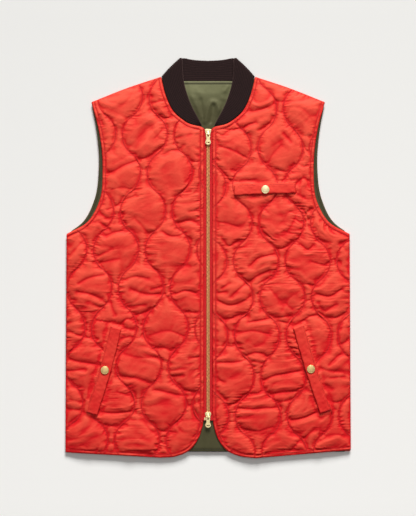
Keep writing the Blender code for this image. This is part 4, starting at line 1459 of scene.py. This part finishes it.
def cut_plate(outlines, low, high, bevel):
    """A flat plate with rounded edges. The first outline is its edge and the others are holes."""
    curve = bpy.data.curves.new("plate", "CURVE")
    curve.dimensions, curve.fill_mode = "2D", "BOTH"
    curve.extrude = (high - low) / 2 - bevel
    curve.bevel_depth, curve.bevel_resolution, curve.offset = bevel, 2, -bevel
    for outline in outlines:
        points = curve.splines.new("POLY")
        points.points.add(len(outline) - 1)
        for point, (x, y) in zip(points.points, outline):
            point.co = (x, y, 0, 1)
        points.use_cyclic_u = True
    holder = bpy.data.objects.new("plate", curve)
    mesh = bpy.data.meshes.new_from_object(holder)
    whole = bmesh.new()
    whole.from_mesh(mesh)
    bmesh.ops.remove_doubles(whole, verts=whole.verts, dist=0.002)
    bmesh.ops.translate(whole, verts=whole.verts, vec=(0, 0, (low + high) / 2))
    vertices = np.array([v.co for v in whole.verts])
    faces = [tuple(v.index for v in face.verts) for face in whole.faces]
    whole.free()
    bpy.data.objects.remove(holder)
    bpy.data.curves.remove(curve)
    bpy.data.meshes.remove(mesh)
    return vertices, faces


def both_sides(right):
    """A closed outline from its right half, listed from one end to the other."""
    right = np.array(right, float)
    return np.vstack([right, right[::-1] * (-1, 1)])


def shifted(part, y):
    vertices, faces = part
    return vertices + (0, y, 0), faces


def swept(path, radius, around=12):
    """A round bar along a path in the YZ plane at X = 0, or along X for two points."""
    path = np.array(path, float)
    ahead = np.gradient(path, axis=0)
    ahead /= np.linalg.norm(ahead, axis=1)[:, None]
    side = np.tile((1.0, 0, 0) if abs(ahead[0, 0]) < 0.5 else (0, 1.0, 0), (len(path), 1))
    up = np.cross(ahead, side)
    turns = np.arange(around) * math.tau / around
    wide = np.broadcast_to(np.asarray(radius, float), (2,))
    ring = side[:, None] * np.cos(turns)[:, None] * wide[0] + up[:, None] * np.sin(turns)[:, None] * wide[1]
    return tube(path[:, None] + ring)


def make_slider(end, pivot_y, brass):
    """Two rounded plates over and under the chain, a wedge and lips between them, and the pull's arch."""
    outline = both_sides(spline(SLIDER_SIDE[end], 8))
    upper = both_sides(spline([(x, max(y, TOP_PLATE_END)) for x, y in SLIDER_SIDE[end]], 8))
    arc = np.radians(np.linspace(BRIDGE_TOP, 180, 10))
    foot = -PIVOT_RISE - 0.6
    mean, thick = (RING_IN + RING_OUT) / 2, (RING_OUT - RING_IN) / 2
    pivot_z = TOP_PLATE_Z + PLATE_THICK + PIVOT_RISE
    arch = [(0, y, pivot_z + rise) for y, rise in BRIDGE]
    arch += [(0, mean * math.cos(a), pivot_z + mean * math.sin(a)) for a in arc]
    arch += [(0, -mean, pivot_z + foot)]
    parts = [
        cut_plate([upper], TOP_PLATE_Z, TOP_PLATE_Z + PLATE_THICK, 0.35),
        cut_plate([outline], UNDER_PLATE_Z, UNDER_PLATE_Z + PLATE_THICK, 0.35),
        swept(arch, (RING_WIDE / 2, thick)),
    ]
    post = [(-1.1, POSTS[end][0]), (1.1, POSTS[end][0]), (1.1, POSTS[end][1]), (-1.1, POSTS[end][1])]
    parts.append(cut_plate([post], UNDER_PLATE_Z + 0.3, TOP_PLATE_Z + 0.3, 0.1))
    for turn in (-1, 1):
        near, far = 3.05 * turn, (LIP_X + 0.2) * turn
        lip = [(min(near, far), -4.2), (max(near, far), -4.2), (max(near, far), 3.4), (min(near, far), 3.4)]
        parts.append(cut_plate([lip], UNDER_PLATE_Z + 0.7, TAPE_Z - GAP, 0.15))
        parts.append(cut_plate([lip], TAPE_Z + TAPE_THICK + GAP, TOP_PLATE_Z + 0.3, 0.15))
    piece = add_mesh(f"slider_{end}", *shifted(join(parts), pivot_y), [brass])
    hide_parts(f"zip_slider_{end}")


def make_pull(end, pivot_y, brass):
    """A flat tab on a bar, with an eye for the arch, a waist, and a slot in its round end."""
    end_y = TAB_LENGTH - TAB_END_RADIUS
    tip = [
        (TAB_END_RADIUS * math.sin(a), -end_y - TAB_END_RADIUS * math.cos(a))
        for a in np.radians(np.linspace(120, 8, 15))
    ]
    edge = both_sides([(2.4, 1.15), (3.4, 0.75), *TAB_SIDE, *tip])
    eye = both_sides(TAB_EYE)
    slot = [
        (TAB_SLOT[0] * math.cos(a), -end_y - TAB_SLOT[1] * math.sin(a))
        for a in np.radians(np.linspace(0, 180, 13))
    ]
    pivot_z = TOP_PLATE_Z + PLATE_THICK + PIVOT_RISE
    low, high = pivot_z - TAB_THICK / 2, pivot_z + TAB_THICK / 2
    parts = [
        cut_plate([edge, eye, slot], low, high, 0.28),
        swept([(-3.4, 0, pivot_z), (-1, 0, pivot_z), (1, 0, pivot_z), (3.4, 0, pivot_z)], 0.8, 16),
    ]
    piece = add_mesh(f"pull_{end}", *shifted(join(parts), pivot_y), [brass], body=f"pull_{end}")
    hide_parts(f"zip_pull_{end}")


# ---- Materials ----
def new_material(name):
    material = bpy.data.materials.new(name)
    material.use_nodes = True
    return material, material.node_tree.nodes["Principled BSDF"]


def node(material, kind, settings=None, **inputs):
    """A shader node. Its inputs are values or the sockets that feed them."""
    made = material.node_tree.nodes.new("ShaderNode" + kind)
    for key, value in (settings or {}).items():
        setattr(made, key, value)
    for key, value in inputs.items():
        feed(material, made.inputs[key.replace("_", " ")], value)
    return made


def feed(material, socket, value):
    if isinstance(value, bpy.types.NodeSocket):
        material.node_tree.links.new(value, socket)
    else:
        socket.default_value = value


def object_place(material):
    return node(material, "TexCoord").outputs["Object"]


def speckle(material, scale, detail=2.0, stretch=(1, 1, 1), rough=0.5):
    """Noise with bumps about 1 / scale metres wide."""
    mapped = node(material, "Mapping", Vector=object_place(material), Scale=stretch).outputs["Vector"]
    made = node(material, "TexNoise", Vector=mapped, Scale=scale, Detail=detail, Roughness=rough)
    return made.outputs["Fac"]


def ridges(material, scale, stretch):
    """Sharp, branching creases about 1 / scale metres apart."""
    turned = node(material, "Mapping", Vector=object_place(material), Scale=stretch, Rotation=(0, 0, 0.2))
    mapped = turned.outputs["Vector"]
    settings = {"noise_type": "RIDGED_MULTIFRACTAL"}
    made = node(material, "TexNoise", settings, Vector=mapped, Scale=scale, Detail=2.0, Distortion=0.6)
    return made.outputs["Fac"]


def stripes(material, direction, pitch):
    """Bands across an axis, this many metres apart."""
    settings = {"bands_direction": direction}
    made = node(material, "TexWave", settings, Vector=object_place(material), Scale=math.pi / 10 / pitch)
    return made.outputs["Fac"]


def between(material, share, low, high):
    """A value that goes from low to high with the share."""
    settings = {"clamp": True}
    return node(material, "MapRange", settings, Value=share, To_Min=low, To_Max=high).outputs["Result"]


def spread(material, share, low, high):
    """Stretches the part of a value between low and high to the whole range."""
    settings = {"clamp": True}
    return node(material, "MapRange", settings, Value=share, From_Min=low, From_Max=high).outputs["Result"]


def sum_of(material, a, b, operation="ADD"):
    made = node(material, "Math", {"operation": operation})
    feed(material, made.inputs[0], a)
    feed(material, made.inputs[1], b)
    return made.outputs[0]


def blend_colour(material, share, first, second, kind="MIX"):
    made = node(material, "Mix", {"data_type": "RGBA", "blend_type": kind})
    feed(material, made.inputs[0], share)
    for socket, colour in ((made.inputs[6], first), (made.inputs[7], second)):
        feed(material, socket, colour if isinstance(colour, bpy.types.NodeSocket) else (*colour, 1))
    return made.outputs[2]


def bump(material, height, deep, below=None):
    """A bump this many metres deep, over another one."""
    made = node(material, "Bump", Height=height, Distance=deep, Strength=1.0)
    if below:
        feed(material, made.inputs["Normal"], below)
    return made.outputs["Normal"]


def value_of(material, name):
    return node(material, "Attribute", {"attribute_name": name}).outputs["Fac"]


def weave(material, pitch):
    return sum_of(material, stripes(material, "X", pitch), stripes(material, "Y", pitch), "MULTIPLY")


def make_nylon():
    """Smooth, tightly woven nylon with a soft sheen. Its colour holds painted shade in its hollows, on slopes
    facing the hem and towards the hem, and painted light on its crests, on slopes facing the collar and
    towards the collar; at its seams painted shade lies over their darker red.
    """
    material, shader = new_material("red_nylon")
    # painted shade in the hollows and painted light on the crests, with random tone over them
    crest = sum_of(material, value_of(material, "crest"), NYLON_CREST_SHADE, "MULTIPLY")
    crest = sum_of(material, crest, speckle(material, 30, 3))
    # painted light on slopes facing the collar, where the lamp stands, and painted shade on slopes facing the
    # hem
    faces = node(material, "SeparateXYZ", Vector=node(material, "TexCoord").outputs["Normal"]).outputs["Y"]
    crest = sum_of(material, crest, sum_of(material, faces, NYLON_LIT_SIDE, "MULTIPLY"))
    # painted light: paler towards the collar, where the lamp is nearer, and deeper towards the hem
    up = node(material, "SeparateXYZ", Vector=object_place(material)).outputs["Y"]
    falloff = sum_of(material, sum_of(material, up, NYLON_LIGHT_FALLOFF[0], "MULTIPLY"), NYLON_LIGHT_FALLOFF[1])
    crest = sum_of(material, crest, falloff)
    # the blend of painted light and shade with random tone
    uneven = blend_colour(material, spread(material, crest, 0.1, 0.9), NYLON_SHADE_TONE, NYLON_LIGHT_TONE)
    # painted shade along the seams, over their own darker red
    seam = sum_of(material, value_of(material, "seam"), NYLON_SEAM, "MULTIPLY")
    feed(material, shader.inputs["Base Color"], blend_colour(material, seam, uneven, SEAM_SHADOW_RED))
    fine = speckle(material, 900, 2)
    feed(material, shader.inputs["Roughness"], between(material, speckle(material, 60, 3), 0.62, 0.74))
    creased = sum_of(material, ridges(material, 75, (1, 1.7, 1)), value_of(material, "near"), "MULTIPLY")
    crinkle = bump(material, speckle(material, 260, 4, rough=0.6), 0.0003, bump(material, creased, 0.0009))
    woven = sum_of(material, weave(material, 0.0006), fine)
    feed(material, shader.inputs["Normal"], bump(material, woven, 0.00002, crinkle))
    shader.inputs["Specular IOR Level"].default_value = 0.32
    shader.inputs["Specular Tint"].default_value = (1, 0.8, 0.62, 1)
    return material


def make_satin():
    """Olive satin with a fine twill and a sheen along it, painted shadow below the neck and painted shade
    along its stitches.
    """
    material, shader = new_material("olive_lining")
    patches = spread(material, speckle(material, 30), 0.3, 0.7)
    colour = blend_colour(material, patches, SATIN_DARK, SATIN_LIGHT)
    # painted shadow below the neck
    depth = sum_of(material, value_of(material, "depth"), 0.9, "MULTIPLY")
    shadowed = blend_colour(material, depth, colour, SATIN_SHADOW)
    # painted shade along the stitches
    seam = sum_of(material, value_of(material, "seam"), NYLON_SEAM, "MULTIPLY")
    feed(material, shader.inputs["Base Color"], blend_colour(material, seam, shadowed, SATIN_STITCH_SHADE))
    feed(material, shader.inputs["Roughness"], between(material, speckle(material, 90, 3), 0.52, 0.62))
    soft = bump(material, speckle(material, 120, 4), 0.0004)
    twill = speckle(material, 700, 1, stretch=(1, 0.12, 1))
    feed(material, shader.inputs["Normal"], bump(material, twill, 0.00006, soft))
    shader.inputs["Specular IOR Level"].default_value = 0.3
    shader.inputs["Specular Tint"].default_value = (1, 0.95, 0.65, 1)
    shader.inputs["Sheen Weight"].default_value = 0.05
    return material


def make_rib():
    """Dark brown rib knit: fine lines along the band, small uneven stitches, and a painted highlight along
    its free edge and its fold.
    """
    material, shader = new_material("brown_rib")
    across = value_of(material, "across")
    waves = node(material, "Math", {"operation": "SINE"})
    feed(material, waves.inputs[0], sum_of(material, across, math.tau / RIB_PITCH, "MULTIPLY"))
    lines = between(material, sum_of(material, waves.outputs[0], 0.5, "MULTIPLY"), 0.0, 1.0)
    fuzz = speckle(material, 650, 3, rough=0.7)
    shade = spread(material, sum_of(material, fuzz, lines), 0.3, 1.5)
    cloth = blend_colour(material, shade, RIB_DARK, RIB_LIGHT)
    # painted highlight along the free edge and the fold
    edge = spread(material, value_of(material, "edge"), 0.0, 1.2)
    feed(material, shader.inputs["Base Color"], blend_colour(material, edge, cloth, RIB_HIGHLIGHT))
    shader.inputs["Roughness"].default_value = 0.92
    feed(material, shader.inputs["Normal"], bump(material, fuzz, 0.0003))
    shader.inputs["Specular IOR Level"].default_value = 0.2
    shader.inputs["Sheen Weight"].default_value = 0.22
    shader.inputs["Sheen Roughness"].default_value = 0.35
    shader.inputs["Sheen Tint"].default_value = (0.8, 0.5, 0.45, 1)
    return material


def make_tape_cloth():
    """Dark red herringbone tape."""
    material, shader = new_material("red_tape")
    turn = node(material, "Mapping", Vector=object_place(material), Rotation=(0, 0, 0.9)).outputs["Vector"]
    twill = node(material, "TexWave", Vector=turn, Scale=math.pi / 10 / 0.0009, Distortion=1.5).outputs["Fac"]
    feed(material, shader.inputs["Base Color"], blend_colour(material, twill, TAPE_DARK, TAPE_LIGHT))
    shader.inputs["Specular IOR Level"].default_value = 0.25
    shader.inputs["Roughness"].default_value = 0.75
    feed(material, shader.inputs["Normal"], bump(material, twill, 0.00025))
    return material


def make_thread(name, dark, light):
    material, shader = new_material(name)
    feed(material, shader.inputs["Base Color"], blend_colour(material, speckle(material, 900), dark, light))
    shader.inputs["Roughness"].default_value = 0.55
    feed(material, shader.inputs["Normal"], bump(material, speckle(material, 1800, 1), 0.0001))
    return material


def make_brass(name, colour, worn, low, high):
    """Brass with fine scratches and duller spots."""
    material, shader = new_material(name)
    share = spread(material, speckle(material, 500, 3), 0.35, 0.7)
    feed(material, shader.inputs["Base Color"], blend_colour(material, share, colour, worn))
    scratches = speckle(material, 900, 3, stretch=(1, 6, 1))
    feed(material, shader.inputs["Roughness"], between(material, scratches, low, high))
    shader.inputs["Metallic"].default_value = 1.0
    feed(material, shader.inputs["Normal"], bump(material, speckle(material, 2500, 2), 0.00001))
    return material


def dress_cad_nodes(frame, tape, brass):
    """Materials for the CAD nodes that show as they are."""
    for name, material in (("zip_tape_right", tape), ("zip_tape_left", tape), ("zip_end_pin", brass)):
        shown = frame["nodes"][name]
        for slot in shown.material_slots:
            slot.material = material
    rounding = frame["nodes"]["zip_end_pin"].modifiers.new("rounding", "BEVEL")
    rounding.width = 0.5 * MM
    rounding.segments = 3


# ---- Stage ----
def make_stage():
    material, shader = new_material("pale_floor")
    up = node(material, "SeparateXYZ", Vector=object_place(material)).outputs["Y"]
    share = spread(material, up, *FLOOR_SPAN)
    feed(material, shader.inputs["Base Color"], blend_colour(material, share, FLOOR_LOW, FLOOR_HIGH))
    shader.inputs["Roughness"].default_value = 0.95
    shader.inputs["Specular IOR Level"].default_value = 0.1
    corners = [(-FLOOR_HALF, -FLOOR_HALF, 0), (FLOOR_HALF, -FLOOR_HALF, 0), (FLOOR_HALF, FLOOR_HALF, 0)]
    corners.append((-FLOOR_HALF, FLOOR_HALF, 0))
    floor = add_mesh("floor", corners, [(0, 1, 2, 3)], [material], body=None)
    floor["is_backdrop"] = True
    camera = bpy.data.objects.new("camera", bpy.data.cameras.new("camera"))
    bpy.context.scene.collection.objects.link(camera)
    camera.location = (CAMERA_AT[0] * MM, CAMERA_AT[1] * MM, CAMERA_HEIGHT * MM)
    camera.data.sensor_width = SENSOR
    camera.data.lens = SENSOR * CAMERA_HEIGHT / FRAME_HEIGHT
    camera.data.clip_start, camera.data.clip_end = CAMERA_CLIP
    bpy.context.scene.camera = camera
    world = bpy.data.worlds.new("studio")
    world.use_nodes = True
    world.node_tree.nodes["Background"].inputs["Color"].default_value = (1, 1, 1, 1)
    world.node_tree.nodes["Background"].inputs["Strength"].default_value = FILL
    bpy.context.scene.world = world
    add_light("key_light", KEY_PLACE, KEY_SIZE, KEY_POWER)
    add_light("top_light", TOP_PLACE, TOP_SIZE, TOP_POWER)
    bpy.context.scene.view_settings.view_transform = "Standard"


def add_light(name, place, size, power):
    light = bpy.data.lights.new(name, "AREA")
    light.shape, light.size, light.energy = "SQUARE", size, power
    made = bpy.data.objects.new(name, light)
    made.location = place
    made.rotation_mode = "QUATERNION"
    made.rotation_quaternion = made.location.to_track_quat("Z", "Y")
    bpy.context.scene.collection.objects.link(made)


def main():
    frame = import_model()
    cad_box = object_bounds()
    nylon, satin, rib, tape = make_nylon(), make_satin(), make_rib(), make_tape_cloth()
    thread = make_thread("red_thread", *RED_THREAD)
    olive_thread = make_thread("olive_thread", *OLIVE_THREAD)
    brass, chain, lit_cap, shaded_cap = (make_brass(name, *finish) for name, finish in BRASS.items())
    make_fronts(nylon, satin, thread)
    make_back(nylon, satin, thread)
    make_lining(satin, olive_thread)
    make_collar(rib)
    for name, welt in WELTS.items():
        make_welt(name, welt, nylon, thread)
    # the chest snap takes the lit copy of the caps' brass and the pocket snaps the shaded one
    for name, place in SNAPS.items():
        make_snap(name, place, lit_cap if name == "snap_chest" else shaded_cap)
    make_teeth(chain)
    for end, pivot_y in PIVOTS.items():
        make_slider(end, pivot_y, brass)
        make_pull(end, pivot_y, brass)
    dress_cad_nodes(frame, tape, brass)
    make_stage()
    boxes = {"cad": cad_box, "visual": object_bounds()}
    {name: [list(corner) for corner in box] for name, box in boxes.items()}


main()
